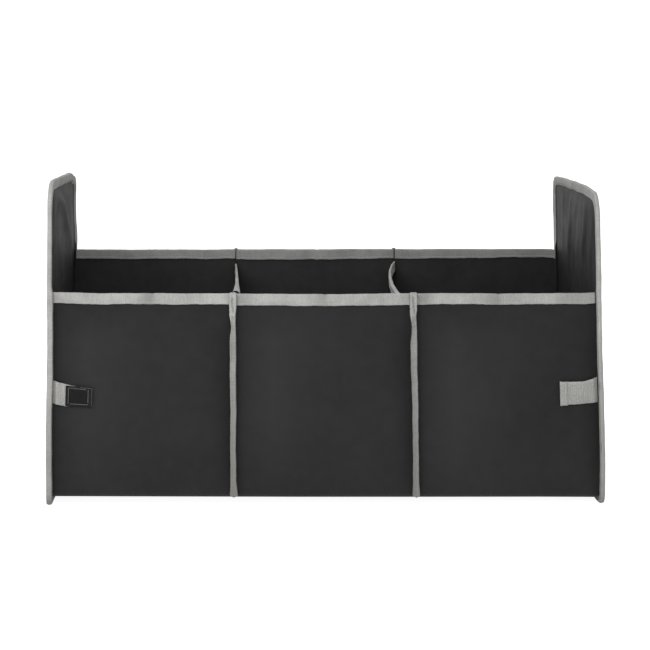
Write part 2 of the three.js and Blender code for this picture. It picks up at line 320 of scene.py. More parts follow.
@dataclass
class Sheet:
    """A sheet of cloth or tape as a grid of points in millimetres, its rows running along it."""

    points: np.ndarray
    ring: bool = False
    shade: np.ndarray | None = None

    def lengths(self) -> tuple[np.ndarray, np.ndarray]:
        """Measures the sheet along its rows and across its columns.

        Returns:
            The distance of each row from the first, with one more where the sheet is a ring, and
            of each column from the first.
        """
        rows = self.points
        if self.ring:
            rows = np.concatenate([rows, rows[:1]])
        along = np.linalg.norm(np.diff(rows, axis=0), axis=2).mean(axis=1)
        across = np.linalg.norm(np.diff(self.points, axis=1), axis=2).mean(axis=0)
        return np.concatenate([[0], np.cumsum(along)]), np.concatenate([[0], np.cumsum(across)])

    def normals(self) -> np.ndarray:
        """Works out the direction out of the sheet from the grid itself.

        Returns:
            A unit normal at each point.
        """
        if self.ring:
            along = np.roll(self.points, -1, axis=0) - np.roll(self.points, 1, axis=0)
        else:
            along = np.gradient(self.points, axis=0)
        normal = np.cross(along, np.gradient(self.points, axis=1))
        return normal / np.maximum(np.linalg.norm(normal, axis=2, keepdims=True), 1e-9)

    def open_mesh(self, name: str, facing: Triple) -> bpy.types.Object:
        """Makes the sheet without thickness.

        Args:
            name: The object's name.
            facing: Where the face in the middle of the grid looks.

        Returns:
            The object, with its UV map in metres.
        """
        rows, cols = self.points.shape[:2]
        last = rows if self.ring else rows - 1
        middle = self.normals()[rows // 2, cols // 2]
        turned = float(np.dot(middle, facing)) < 0
        faces = []
        corners = []
        for i in range(last):
            for j in range(cols - 1):
                cell = [(i, j), (i + 1, j), (i + 1, j + 1), (i, j + 1)]
                if turned:
                    cell.reverse()
                faces.append(tuple((a % rows) * cols + b for a, b in cell))
                corners.extend(cell)
        obj = mesh_object(name, self.points.reshape(-1, 3), faces)
        along, across = self.lengths()
        layer = obj.data.uv_layers.new(name=UV_NAME)
        spots = np.array([(across[b], along[a]) for a, b in corners]) * MM
        layer.data.foreach_set("uv", spots.ravel())
        if self.shade is not None:
            marks = obj.data.attributes.new(SHADE_NAME, "FLOAT", "POINT")
            marks.data.foreach_set("value", np.broadcast_to(self.shade[:, None], (rows, cols)).ravel())
        return obj

    def sew(self, name: str, facing: Triple, thickness: float) -> bpy.types.Object:
        """Args:
            name: The object's name.
            facing: Where the face in the middle of the grid looks.
            thickness: Added on the other side, in millimetres.

        Returns:
            The closed object.
        """
        obj = self.open_mesh(name, facing)
        apply_modifier(obj, "SOLIDIFY", thickness=thickness * MM, offset=-1.0)
        return obj


@dataclass(frozen=True)
class Slack:
    """How a pinned cloth is let go slack: a share of growth, its stiffness and its steps."""

    growth: float = 0.006
    bending: float = 1.5
    frames: int = 14
    pull: float = 0.2
    seed: int = 1


def slack_folds(sheet: Sheet, pinned: np.ndarray, slack: Slack) -> np.ndarray:
    """Runs a cloth simulation on a sheet that is sewn down at its pinned points.

    Args:
        sheet: The sheet.
        pinned: True at each point that stays where it is.
        slack: How slack it is.

    Returns: How far each point moved, in millimetres.
    """
    draw = np.random.default_rng(slack.seed)
    shake = draw.normal(0, 0.15, pinned.shape)[..., None]
    start = sheet.points + sheet.normals() * shake * ~pinned[..., None]
    trial = Sheet(start).open_mesh("cloth_trial", (0, 0, 1))
    group = trial.vertex_groups.new(name="sewn")
    group.add([int(i) for i in np.flatnonzero(pinned.ravel())], 1.0, "REPLACE")
    modifier = trial.modifiers.new("Slack", "CLOTH")
    values = modifier.settings
    values.vertex_group_mass = "sewn"
    values.quality = 5
    values.mass = 0.15
    values.tension_stiffness = 20
    values.compression_stiffness = 20
    values.shear_stiffness = 8
    values.bending_stiffness = slack.bending
    values.air_damping = 3
    values.shrink_min = -slack.growth
    values.effector_weights.gravity = slack.pull
    modifier.point_cache.frame_end = slack.frames
    scene = bpy.context.scene
    for number in range(1, slack.frames + 1):
        scene.frame_set(number)
    graph = bpy.context.evaluated_depsgraph_get()
    moved = np.zeros(len(trial.data.vertices) * 3)
    trial.evaluated_get(graph).data.vertices.foreach_get("co", moved)
    bpy.data.objects.remove(trial)
    scene.frame_set(1)
    return moved.reshape(sheet.points.shape) / MM - sheet.points


def soften(values: np.ndarray, times: int) -> np.ndarray:
    """Averages a grid of values with its neighbours.

    Args:
        values: One value for each point of a sheet.
        times: How often.

    Returns:
        The softened values.
    """
    for _ in range(times):
        wide = np.pad(values, 1, mode="edge")
        values = (wide[:-2, 1:-1] + wide[2:, 1:-1] + wide[1:-1, :-2] + wide[1:-1, 2:]
                  + 2 * wide[1:-1, 1:-1]) / 6
    return values


@dataclass
class Tape:
    """Tape folded over the edge of a seam, swept along it."""

    edge: np.ndarray
    inward: np.ndarray
    side: np.ndarray
    half_a: np.ndarray
    half_b: np.ndarray
    leg_a: np.ndarray
    leg_b: np.ndarray
    nose: float = 1.4
    groove: float = 0.0
    press: float = 0.28
    stitch_inset: float = 2.0
    ring: bool = False
    leg_rows: int = 8
    arc_rows: int = 4
    top_rows: int = 3
    extra: dict[str, np.ndarray] = field(default_factory=dict)

    def profile(self) -> tuple[np.ndarray, np.ndarray]:
        """The folded outline at each station.

        Returns:
            The offset to the side and the depth below the edge, one row a station.
        """
        sides = []
        depths = []
        for sign, half, leg in ((1, self.half_a, self.leg_a), (-1, self.half_b, self.leg_b)):
            side, depth = [], []
            for row in range(self.leg_rows):
                share = 1 - row / self.leg_rows
                deep = self.nose + (leg - self.nose) * share
                from_edge = leg - deep
                pressed = self.press * bell((from_edge - self.stitch_inset) / 0.8)
                lip = 0.16 * bell(from_edge / 0.7)
                side.append(sign * (half - pressed + lip))
                depth.append(deep)
            for row in range(self.arc_rows + 1):
                turn = row / self.arc_rows * math.pi / 2
                side.append(sign * (half - self.nose + self.nose * math.cos(turn)))
                depth.append(np.full_like(half, self.nose * (1 - math.sin(turn))))
            sides.append(side)
            depths.append(depth)
        middle, valley = [], []
        for row in range(1, self.top_rows + 1):
            share = row / (self.top_rows + 1)
            middle.append((self.half_a - self.nose) * (1 - share) - (self.half_b - self.nose) * share)
            valley.append(np.full_like(self.half_a, self.groove * math.sin(math.pi * share) ** 1.3))
        side = sides[0] + middle + sides[1][::-1]
        depth = depths[0] + valley + depths[1][::-1]
        return np.stack(side, axis=1), np.stack(depth, axis=1)

    def sheet(self) -> Sheet:
        """Sweeps the folded outline along the edge.

        Returns:
            The tape, its rows the stations.
        """
        side, depth = self.profile()
        side = side + self.extra.get("side", 0.0)
        depth = depth + self.extra.get("depth", 0.0)
        return Sheet(self.edge[:, None] + self.side[:, None] * side[..., None]
                     + self.inward[:, None] * depth[..., None], self.ring)

    def seam(self, sign: int) -> tuple[np.ndarray, np.ndarray]:
        """Where the stitches lie on one leg.

        Args:
            sign: 1 for leg a, -1 for leg b.

        Returns:
            Points on the tape's face and the direction out of it.
        """
        half, leg = (self.half_a, self.leg_a) if sign > 0 else (self.half_b, self.leg_b)
        out = self.side * sign
        deep = leg - self.stitch_inset
        points = self.edge + out * (half - self.press)[:, None] + self.inward * deep[:, None]
        return points, out


def walk(path: np.ndarray, step: float, start: float = 0.0) -> np.ndarray:
    """Places at an even step along a path, as fractions of its point numbers.

    Args:
        path: Points of the path.
        step: Distance between places.
        start: Distance of the first from the path's start.

    Returns:
        Fractional point numbers.
    """
    length = np.concatenate([[0], np.cumsum(np.linalg.norm(np.diff(path, axis=0), axis=1))])
    return np.interp(np.arange(start, length[-1] - start, step), length, np.arange(len(path)))


def pick(values: np.ndarray, at: np.ndarray) -> np.ndarray:
    """Reads rows of values between whole row numbers.

    Args:
        values: One row for each whole number.
        at: Fractional row numbers.

    Returns:
        One row for each of them.
    """
    low = np.clip(np.floor(at).astype(int), 0, len(values) - 2)
    share = (at - low)[:, None]
    return values[low] * (1 - share) + values[low + 1] * share


@dataclass(frozen=True)
class Thread:
    """The sewing thread and its stitch, in millimetres."""

    pitch: float = 3.4
    length: float = 2.7
    radius: float = 0.26

    def rows(self, name: str, rows: list[Seam]) -> bpy.types.Object:
        """Lays rows of stitches, every stitch a short arched thread.

        Args:
            name: The object's name.
            rows: For each row the points it follows and the directions out of the cloth.

        Returns:
            One object with all the stitches.
        """
        turns = np.arange(6) / 6 * 2 * math.pi
        rings = ((-0.5, 0.35, -0.35), (-0.36, 0.95, 0.0), (0.0, 1.0, 0.12), (0.36, 0.95, 0.0),
                 (0.5, 0.35, -0.35))
        verts, faces = [], []
        for path, out in rows:
            at = walk(path, self.pitch, self.pitch / 2)
            if len(at) < 2:
                continue
            place, normal = pick(path, at), pick(out, at)
            ahead = pick(path, at + 0.05) - pick(path, at - 0.05)
            ahead /= np.linalg.norm(ahead, axis=1, keepdims=True)
            normal -= ahead * np.sum(normal * ahead, axis=1, keepdims=True)
            normal /= np.linalg.norm(normal, axis=1, keepdims=True)
            beside = np.cross(ahead, normal)
            for spot, along, up, aside in zip(place, ahead, normal, beside):
                first = len(verts)
                for share, fat, lift in rings:
                    centre = spot + along * share * self.length + up * self.radius * (lift + 0.45)
                    verts.extend(centre + self.radius * fat * (math.cos(turn) * aside + math.sin(turn) * up)
                                 for turn in turns)
                for ring in range(len(rings) - 1):
                    low = first + ring * 6
                    faces.extend((low + k, low + (k + 1) % 6, low + 6 + (k + 1) % 6, low + 6 + k)
                                 for k in range(6))
                faces.append(tuple(first + k for k in reversed(range(6))))
                faces.append(tuple(first + 6 * (len(rings) - 1) + k for k in range(6)))
        obj = mesh_object(name, np.array(verts), faces)
        recalculate(obj)
        return obj


def recalculate(obj: bpy.types.Object) -> None:
    """Turns every face of a closed mesh outward.

    Args:
        obj: The object.
    """
    grid = bmesh.new()
    grid.from_mesh(obj.data)
    bmesh.ops.recalc_face_normals(grid, faces=grid.faces)
    grid.to_mesh(obj.data)
    grid.free()


THREAD = Thread()


# Node groups that the finishes share

class Nodes:
    """A short hand for building a node tree."""

    def __init__(self, tree: bpy.types.NodeTree) -> None:
        """Keeps the tree."""
        self.tree = tree

    def feed(self, node: bpy.types.Node, inputs: dict[str | int, object]) -> None:
        """Links or sets inputs of a node.

        Args:
            node: The node.
            inputs: A value or another node's output for each input.
        """
        for key, value in inputs.items():
            if isinstance(value, bpy.types.NodeSocket):
                self.tree.links.new(value, node.inputs[key])
            else:
                node.inputs[key].default_value = value

    def add(self, kind: str, inputs: dict[str | int, object] | None = None,
            **settings: object) -> bpy.types.Node:
        """Adds a node, sets it, and links or sets its inputs.

        Args:
            kind: Blender's node type, without its ShaderNode prefix where it has one.
            inputs: A value or another node's output for each input.
            settings: The node's own settings.

        Returns:
            The node.
        """
        node = self.tree.nodes.new(kind if kind.startswith("NodeGroup") else "ShaderNode" + kind)
        for key, value in settings.items():
            setattr(node, key, value)
        self.feed(node, inputs or {})
        return node

    def math(self, operation: str, first: object, second: object = 0.0) -> bpy.types.NodeSocket:
        """The result of a Math node."""
        return self.add("Math", {0: first, 1: second}, operation=operation).outputs[0]

    def times(self, first: object, second: object) -> bpy.types.NodeSocket:
        """The product of two values."""
        return self.math("MULTIPLY", first, second)

    def plus(self, first: object, second: object) -> bpy.types.NodeSocket:
        """The sum of two values."""
        return self.math("ADD", first, second)

    def noise(self, place: object, scale: object, detail: float = 2.0,
              roughness: float = 0.5) -> bpy.types.NodeSocket:
        """The factor of a Noise Texture node."""
        return self.add("TexNoise", {"Vector": place, "Scale": scale, "Detail": detail,
                                     "Roughness": roughness}).outputs["Fac"]

    def spread(self, value: object, low: float, high: float, to_low: float = 0.0,
               to_high: float = 1.0) -> bpy.types.NodeSocket:
        """The result of a Map Range node."""
        return self.add("MapRange", {"Value": value, "From Min": low, "From Max": high,
                                     "To Min": to_low, "To Max": to_high}).outputs[0]

    def blend(self, factor: object, first: object, second: object) -> bpy.types.NodeSocket:
        """Mixes two colours by a factor."""
        pair = [(*c, 1.0) if isinstance(c, tuple) else c for c in (first, second)]
        return self.add("Mix", {0: factor, 6: pair[0], 7: pair[1]}, data_type="RGBA").outputs[2]


def new_group(name: str, inputs: dict[str, tuple[str, object]],
              outputs: tuple[str, ...]) -> tuple[bpy.types.NodeTree, Nodes, bpy.types.Node]:
    """Starts a shader node group with named inputs and number outputs.

    Args:
        name: The group's name.
        inputs: Socket type and starting value of each input.
        outputs: Names of the outputs.

    Returns:
        The group, its builder and its input node.
    """
    tree = bpy.data.node_groups.new(name, "ShaderNodeTree")
    for key, (kind, value) in inputs.items():
        socket = tree.interface.new_socket(name=key, in_out="INPUT", socket_type="NodeSocket" + kind)
        if value is not None:
            socket.default_value = value
    for key in outputs:
        tree.interface.new_socket(name=key, in_out="OUTPUT", socket_type="NodeSocketFloat")
    nodes = Nodes(tree)
    return tree, nodes, nodes.add("NodeGroupInput")


def weave_group() -> bpy.types.NodeTree:
    """Plain weave: threads that pass over and under each other in a chequer.

    Returns:
        The group.
    """
    tree, nodes, given = new_group(
        "plain_weave", {"UV": ("Vector", None), "Threads": ("Float", 1700.0), "Slub": ("Float", 0.3)},
        ("Height", "Gap"))
    uv, threads = given.outputs["UV"], given.outputs["Threads"]
    split = nodes.add("SeparateXYZ", {0: uv})
    drift = nodes.times(nodes.noise(uv, 240.0), 0.9)
    ridges = []
    for axis in (0, 1):
        place = nodes.plus(nodes.times(split.outputs[axis], threads), drift)
        ridges.append(nodes.math("ABSOLUTE", nodes.math("SINE", nodes.times(place, math.pi))))
    chequer = nodes.add("TexChecker", {"Vector": uv, "Scale": threads, "Color1": (1, 1, 1, 1),
                                       "Color2": (0, 0, 0, 1)})
    warp, weft = (nodes.times(nodes.math("POWER", ridges[0], first), nodes.math("POWER", ridges[1], second))
                  for first, second in ((1.3, 0.5), (0.5, 1.3)))
    thread = nodes.add("Mix", {"Factor": chequer.outputs["Fac"], "A": warp, "B": weft},
                       data_type="FLOAT").outputs[0]
    slub = nodes.times(nodes.math("SUBTRACT", nodes.noise(uv, 700.0, 1.0), 0.5), given.outputs["Slub"])
    nodes.add("NodeGroupOutput", {"Height": nodes.plus(thread, slub), "Gap": nodes.spread(thread, 0.5, 0.12)})
    return tree


def rib_group() -> bpy.types.NodeTree:
    """Ribbed tape or webbing: cords across its length, with fine threads along it.

    Returns:
        The group.
    """
    tree, nodes, given = new_group(
        "tape_ribs", {"UV": ("Vector", None), "Ribs": ("Float", 800.0), "Threads": ("Float", 1500.0),
                      "Uneven": ("Float", 0.4), "Fleck": ("Float", 1.5)}, ("Height", "Streak"))
    across, along, _ = nodes.add("SeparateXYZ", {0: given.outputs["UV"]}).outputs
    flat = nodes.add("CombineXYZ", {0: nodes.times(across, 0.12), 1: along})
    slow = nodes.noise(flat.outputs[0], 520.0, 3.0, 0.7)
    uneven = nodes.times(nodes.math("SUBTRACT", slow, 0.5), given.outputs["Uneven"])
    turn = nodes.times(nodes.times(along, given.outputs["Ribs"]), 2 * math.pi)
    rib = nodes.math("SINE", nodes.plus(turn, nodes.times(uneven, 9.0)))
    thread = nodes.math("SINE", nodes.times(nodes.times(across, given.outputs["Threads"]), 2 * math.pi))
    speck = nodes.noise(given.outputs["UV"], 620.0)
    fleck = nodes.times(nodes.math("SUBTRACT", speck, 0.5), given.outputs["Fleck"])
    height = nodes.plus(nodes.times(rib, 0.32), nodes.times(thread, 0.14))
    height = nodes.plus(nodes.plus(nodes.plus(height, 0.5), uneven), fleck)
    nodes.add("NodeGroupOutput", {"Height": height, "Streak": nodes.plus(uneven, 0.5)})
    return tree


def mottle_group() -> bpy.types.NodeTree:
    """Slow unevenness of dye and handling, from broad to small patches.

    Returns:
        The group.
    """
    tree, nodes, given = new_group(
        "dye_mottle", {"Place": ("Vector", None), "Broad": ("Float", 9.0), "Fine": ("Float", 90.0)},
        ("Factor",))
    broad = nodes.noise(given.outputs["Place"], given.outputs["Broad"], 3.0, 0.55)
    fine = nodes.noise(given.outputs["Place"], given.outputs["Fine"], 4.0)
    total = nodes.plus(nodes.times(broad, 0.65), nodes.times(fine, 0.35))
    nodes.add("NodeGroupOutput", {"Factor": nodes.spread(total, 0.36, 0.64)})
    return tree


def lint_group() -> bpy.types.NodeTree:
    """Sparse specks of lint, and dust on whatever faces up.

    Returns:
        The group.
    """
    tree, nodes, given = new_group(
        "lint_and_dust", {"Place": ("Vector", None), "Size": ("Float", 260.0), "Dust": ("Float", 0.3)},
        ("Mask",))
    cells = nodes.add("TexVoronoi", {"Vector": given.outputs["Place"], "Scale": given.outputs["Size"]})
    choose = nodes.add("SeparateColor", {0: cells.outputs["Color"]})
    rare = nodes.spread(choose.outputs[0], 0.965, 0.99)
    speck = nodes.times(nodes.spread(cells.outputs["Distance"], 0.2, 0.08), rare)
    normal = nodes.add("SeparateXYZ", {0: nodes.add("NewGeometry").outputs["Normal"]})
    cloud = nodes.noise(given.outputs["Place"], 45.0, 5.0)
    lying = nodes.times(nodes.spread(normal.outputs[2], 0.55, 1.0), nodes.spread(cloud, 0.4, 0.7))
    mask = nodes.plus(nodes.times(speck, 0.08), nodes.times(lying, given.outputs["Dust"]))
    nodes.add("NodeGroupOutput", {"Mask": nodes.math("MINIMUM", mask, 1.0)})
    return tree


# Finishes

def start_material(name: str) -> tuple[bpy.types.Material, Nodes, bpy.types.Node, bpy.types.NodeSocket]:
    """Starts a material with its shader and coordinates.

    Args:
        name: The material's name.

    Returns:
        The material, its builder, its Principled shader and its object coordinates.
    """
    material = bpy.data.materials.new(name)
    material.use_nodes = True
    material.node_tree.nodes.clear()
    nodes = Nodes(material.node_tree)
    shader = nodes.add("BsdfPrincipled")
    nodes.add("OutputMaterial", {0: shader.outputs[0]})
    return material, nodes, shader, nodes.add("TexCoord").outputs["Object"]


@dataclass(frozen=True)
class Finish:
    """What every finish has: a name, two colours, and the way that it reaches the shader."""

    name: str
    dark: Triple
    light: Triple

    def make(self, groups: dict[str, bpy.types.NodeTree]) -> bpy.types.Material:
        """Builds the material.

        Args:
            groups: The shared node groups by name.

        Returns:
            The material.
        """
        material, nodes, shader, place = start_material(self.name)
        nodes.feed(shader, self.surface(nodes, place, groups))
        return material

    def surface(self, nodes: Nodes, place: bpy.types.NodeSocket,
                groups: dict[str, bpy.types.NodeTree]) -> dict[str | int, object]:
        """What goes into the shader.

        Args:
            nodes: The material's builder.
            place: Object coordinates.
            groups: The shared node groups by name.

        Returns:
            A value or a node's output for each input of the shader.
        """
        raise NotImplementedError


def bumped(nodes: Nodes, height: object, strength: float, distance: float) -> bpy.types.NodeSocket:
    """A normal bumped by a height."""
    return nodes.add("Bump", {"Strength": strength, "Distance": distance, "Height": height}).outputs[0]


@dataclass(frozen=True)
class WovenFinish(Finish):
    """Plain woven polyester cloth."""

    threads: float = 1700.0
    roughness: float = 0.6
    specular: float = 0.27
    bump: float = 0.5
    dust: float = 0.05
    dust_colour: Triple = (0.16, 0.158, 0.152)
    # Strength and colour of a painted highlight over the left part of each front wall panel.
    painted_highlight: float = 0.0
    painted_highlight_colour: Triple = (0.03, 0.0305, 0.03)

    def surface(self, nodes: Nodes, place: bpy.types.NodeSocket,
                groups: dict[str, bpy.types.NodeTree]) -> dict[str | int, object]:
        """Mottled threads with dark gaps, lint and dust, and, where it is asked for, a painted highlight.

        Args:
            nodes: The material's builder.
            place: Object coordinates.
            groups: The shared node groups by name.

        Returns:
            A value or output for each input of the shader.
        """
        uv = nodes.add("UVMap", uv_map=UV_NAME).outputs[0]
        weave = nodes.add("Group", {"UV": uv, "Threads": self.threads}, node_tree=groups["weave"]).outputs
        mottle = nodes.add("Group", {"Place": place}, node_tree=groups["mottle"]).outputs[0]
        lint = nodes.add("Group", {"Place": place, "Dust": self.dust}, node_tree=groups["lint"]).outputs[0]
        colour = nodes.blend(mottle, self.dark, self.light)
        colour = nodes.blend(nodes.times(weave["Gap"], 0.45), colour, tuple(c * 0.35 for c in self.dark))
        colour = nodes.blend(lint, colour, self.dust_colour)
        # Painted highlight: a lighter patch over the left part of each front wall panel, where the light from
        # the left falls.
        if self.painted_highlight:
            across, along, _ = nodes.add("SeparateXYZ", {0: uv}).outputs
            mask = nodes.times(nodes.spread(across, 0.006, 0.045), nodes.spread(across, 0.115, 0.045))
            tall = nodes.times(nodes.spread(along, 0.012, 0.05), nodes.spread(along, 0.235, 0.12))
            mask = nodes.times(nodes.times(mask, tall), self.painted_highlight)
            colour = nodes.blend(mask, colour, self.painted_highlight_colour)
        rough = nodes.spread(mottle, 0.0, 1.0, self.roughness + 0.06, self.roughness - 0.06)
        return {"Base Color": colour, "Roughness": rough, "Specular IOR Level": self.specular,
                "Normal": bumped(nodes, weave["Height"], self.bump, 0.00025)}


@dataclass(frozen=True)
class RibbedFinish(Finish):
    """Ribbed tape or webbing."""

    ribs: float = 820.0
    threads: float = 1500.0
    uneven: float = 0.9
    fleck: float = 1.5
    roughness: float = 0.78
    bump: float = 0.5
    # How far the tape darkens towards the bottom: dirt near the ground, and painted shade above it.
    dirt_and_low_shade: float = 0.85
    dirt_and_low_shade_colour: Triple = (0.21, 0.2, 0.185)

    def surface(self, nodes: Nodes, place: bpy.types.NodeSocket,
                groups: dict[str, bpy.types.NodeTree]) -> dict[str | int, object]:
        """Ribs, dirt near the ground with painted shade darkening towards the bottom, and painted shade at
        creases and beside the seam strips.

        Args:
            nodes: The material's builder.
            place: Object coordinates.
            groups: The shared node groups by name.

        Returns:
            A value or output for each input of the shader.
        """
        uv = nodes.add("UVMap", uv_map=UV_NAME).outputs[0]
        ribs = nodes.add("Group", {"UV": uv, "Ribs": self.ribs, "Threads": self.threads,
                                   "Uneven": self.uneven, "Fleck": self.fleck},
                         node_tree=groups["ribs"]).outputs
        mottle = nodes.add("Group", {"Place": place, "Broad": 22.0}, node_tree=groups["mottle"]).outputs[0]
        shade = nodes.plus(nodes.times(ribs["Height"], 0.55), nodes.times(mottle, 0.45))
        colour = nodes.blend(nodes.spread(shade, 0.15, 0.85), self.dark, self.light)
        # Darker towards the bottom: dirt near the ground, and painted shade where the light falls off lower
        # down.
        low_dirt_and_shade_mask = nodes.spread(nodes.add("SeparateXYZ", {0: place}).outputs[2], 0.14, 0.0)
        colour = nodes.blend(nodes.times(nodes.times(low_dirt_and_shade_mask, mottle), self.dirt_and_low_shade), colour, self.dirt_and_low_shade_colour)
        # Painted shade and shadow from the sheet's shade marks: at the rim tape's creases and just right of
        # the seam strips.
        painted_shade = nodes.add("Attribute", attribute_name=SHADE_NAME).outputs["Fac"]
        colour = nodes.blend(painted_shade, colour, tuple(c * 0.5 for c in self.dark))
        rough = nodes.spread(ribs["Streak"], 0.2, 0.8, self.roughness + 0.07, self.roughness - 0.07)
        return {"Base Color": colour, "Roughness": rough, "Specular IOR Level": 0.2,
                "Normal": bumped(nodes, ribs["Height"], self.bump, 0.0004)}


@dataclass(frozen=True)
class FuzzFinish(Finish):
    """The field of a hook or loop patch."""

    pitch: float = 620.0
    roughness: float = 0.7
    bump: float = 0.8
    specular: float = 0.22

    def surface(self, nodes: Nodes, place: bpy.types.NodeSocket,
                groups: dict[str, bpy.types.NodeTree]) -> dict[str | int, object]:
        """Small tips close together.

        Args:
            nodes: The material's builder.
            place: Object coordinates.
            groups: The shared node groups by name.

        Returns:
            A value or output for each input of the shader.
        """
        cells = nodes.add("TexVoronoi", {"Vector": place, "Scale": self.pitch})
        mottle = nodes.add("Group", {"Place": place, "Fine": 400.0}, node_tree=groups["mottle"]).outputs[0]
        tips = nodes.spread(cells.outputs["Distance"], 0.55, 0.1)
        shade = nodes.times(tips, nodes.spread(mottle, 0, 1, 0.4, 1.0))
        rough = nodes.spread(mottle, 0.0, 1.0, self.roughness + 0.1, self.roughness - 0.05)
        return {"Base Color": nodes.blend(shade, self.dark, self.light), "Roughness": rough,
                "Specular IOR Level": self.specular, "Normal": bumped(nodes, tips, self.bump, 0.0005)}


@dataclass(frozen=True)
class BoardFinish(Finish):
    """Grey cardboard, hidden in the pockets."""

    dark: Triple = (0.11, 0.09, 0.068)
    light: Triple = (0.19, 0.16, 0.125)

    def surface(self, nodes: Nodes, place: bpy.types.NodeSocket,
                groups: dict[str, bpy.types.NodeTree]) -> dict[str | int, object]:
        """Pressed fibres.

        Args:
            nodes: The material's builder.
            place: Object coordinates.
            groups: The shared node groups by name.

        Returns:
            A value or output for each input of the shader.
        """
        mottle = nodes.add("Group", {"Place": place, "Fine": 500.0}, node_tree=groups["mottle"]).outputs[0]
        fibres = nodes.noise(place, 1400.0, 3.0)
        shade = nodes.times(nodes.plus(mottle, fibres), 0.5)
        return {"Base Color": nodes.blend(shade, self.dark, self.light),
                "Roughness": nodes.spread(mottle, 0.0, 1.0, 0.92, 0.82),
                "Normal": bumped(nodes, fibres, 0.2, 0.0002)}


def grey(value: float) -> Triple:
    """An even grey."""
    return value, value, value


class Wardrobe:
    """All the finishes, built once, and the way that a piece is given one."""

    def __init__(self) -> None:
        """Builds the groups and the materials."""
        groups = {"weave": weave_group(), "ribs": rib_group(), "mottle": mottle_group(), "lint": lint_group()}
        outer = ((0.0082, 0.0084, 0.0084), (0.0125, 0.0127, 0.0125))
        finishes = (
            WovenFinish("black_outer_cloth", *outer),
            # The front panel cloth carries a painted highlight over the left part of each panel.
            WovenFinish("black_panel_cloth", *outer, painted_highlight=0.65),
            WovenFinish("black_lining_cloth", (0.024, 0.0244, 0.024), (0.034, 0.0346, 0.034),
                        threads=1500.0, specular=0.12),
            WovenFinish("black_pocket_cloth", (0.033, 0.0335, 0.033), (0.046, 0.0467, 0.046),
                        threads=1500.0, specular=0.12),
            RibbedFinish("grey_binding_tape", (0.42, 0.418, 0.403), (0.68, 0.677, 0.655)),
            # A darker copy of the binding tape, as painted shade for the back rims and the seam strips.
            RibbedFinish("grey_tape_painted_shade", (0.3, 0.299, 0.288), (0.49, 0.488, 0.472)),
            RibbedFinish("grey_webbing", (0.43, 0.428, 0.412), (0.68, 0.677, 0.655), ribs=520.0,
                         threads=900.0, uneven=0.6, fleck=2.6, bump=0.7),
            RibbedFinish("grey_thread", (0.5, 0.497, 0.48), (0.7, 0.697, 0.675), ribs=2500.0, uneven=0.1),
            RibbedFinish("worn_thread", (0.2, 0.198, 0.19), (0.42, 0.417, 0.4), ribs=2500.0, uneven=0.1),
            FuzzFinish("black_hook_field", grey(0.004), grey(0.014), specular=0.12),
            FuzzFinish("black_hook_border", grey(0.01), grey(0.024), pitch=1500.0, bump=0.3),
            FuzzFinish("black_loop_field", grey(0.012), grey(0.04), pitch=900.0),
            BoardFinish("grey_cardboard"),
        )
        self.materials = {finish.name: finish.make(groups) for finish in finishes}

    def dress(self, obj: bpy.types.Object, finish: str, slot: Slot,
              replaces: tuple[str, ...] = ()) -> bpy.types.Object:
        """Gives a piece its finish and its body, and hides the CAD nodes that it stands for.

        Args:
            obj: The piece.
            finish: The material's name.
            slot: Not used.
            replaces: CAD nodes that it replaces.

        Returns:
            The piece.
        """
        obj.data.materials.clear()
        obj.data.materials.append(self.materials[finish])
        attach(obj, "root")
        if replaces:
            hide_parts(*replaces)
        LOG.info("%s: %d faces, %s", obj.name, len(obj.data.polygons), finish)
        return obj


# What every sewn sub-assembly shares

@dataclass
class Sewn:
    """A sewn sub-assembly, which settles, sews and stitches its own sheets."""

    wardrobe: Wardrobe

    def put_on(self, sheet: Sheet, name: str, facing: Triple, finish: str, slot: Slot,
               stands_for: str = "", thickness: float = PLAN.cloth, settled: bool = False) -> None:
        """Settles a sheet, sews it and gives it its finish.

        Args:
            sheet: The sheet.
            name: The piece's name.
            facing: Where the face in the middle of the sheet looks.
            finish: The material's name.
            slot: The record's slot.
            stands_for: The CAD node that it replaces.
            thickness: Added on the other side, in millimetres.
            settled: True where the sheet is settled already.
        """
        if not settled:
            sheet.points = settle(sheet.points)
        obj = sheet.sew(name, facing, thickness)
        self.wardrobe.dress(obj, finish, slot, (stands_for,) if stands_for else ())

    def stitch(self, name: str, rows: list[Seam], part: slice = slice(None)) -> None:
        """Lays rows of grey stitches.

        Args:
            name: The piece's name.
            rows: For each row its points, not settled, and the directions out of the tape.
            part: Which points of each row are followed.
        """
        settled = [(settle(line[part]), out[part]) for line, out in rows]
        self.wardrobe.dress(THREAD.rows(name, settled), "grey_thread", Slot.TAPE)


def everywhere(direction: Triple, edge: np.ndarray) -> np.ndarray:
    """One direction for every station of an edge."""
    return np.broadcast_to(np.array(direction, float), edge.shape).copy()


# Ends

BOARD_LEVELS = (20, 40, 71, 103, 134, 166, 192, 218, 236, 255, 270, 285, 300, 315)
BOARD_PLACES = (-128, -100, -60, 0, 40, 62, 85, 108, 130)


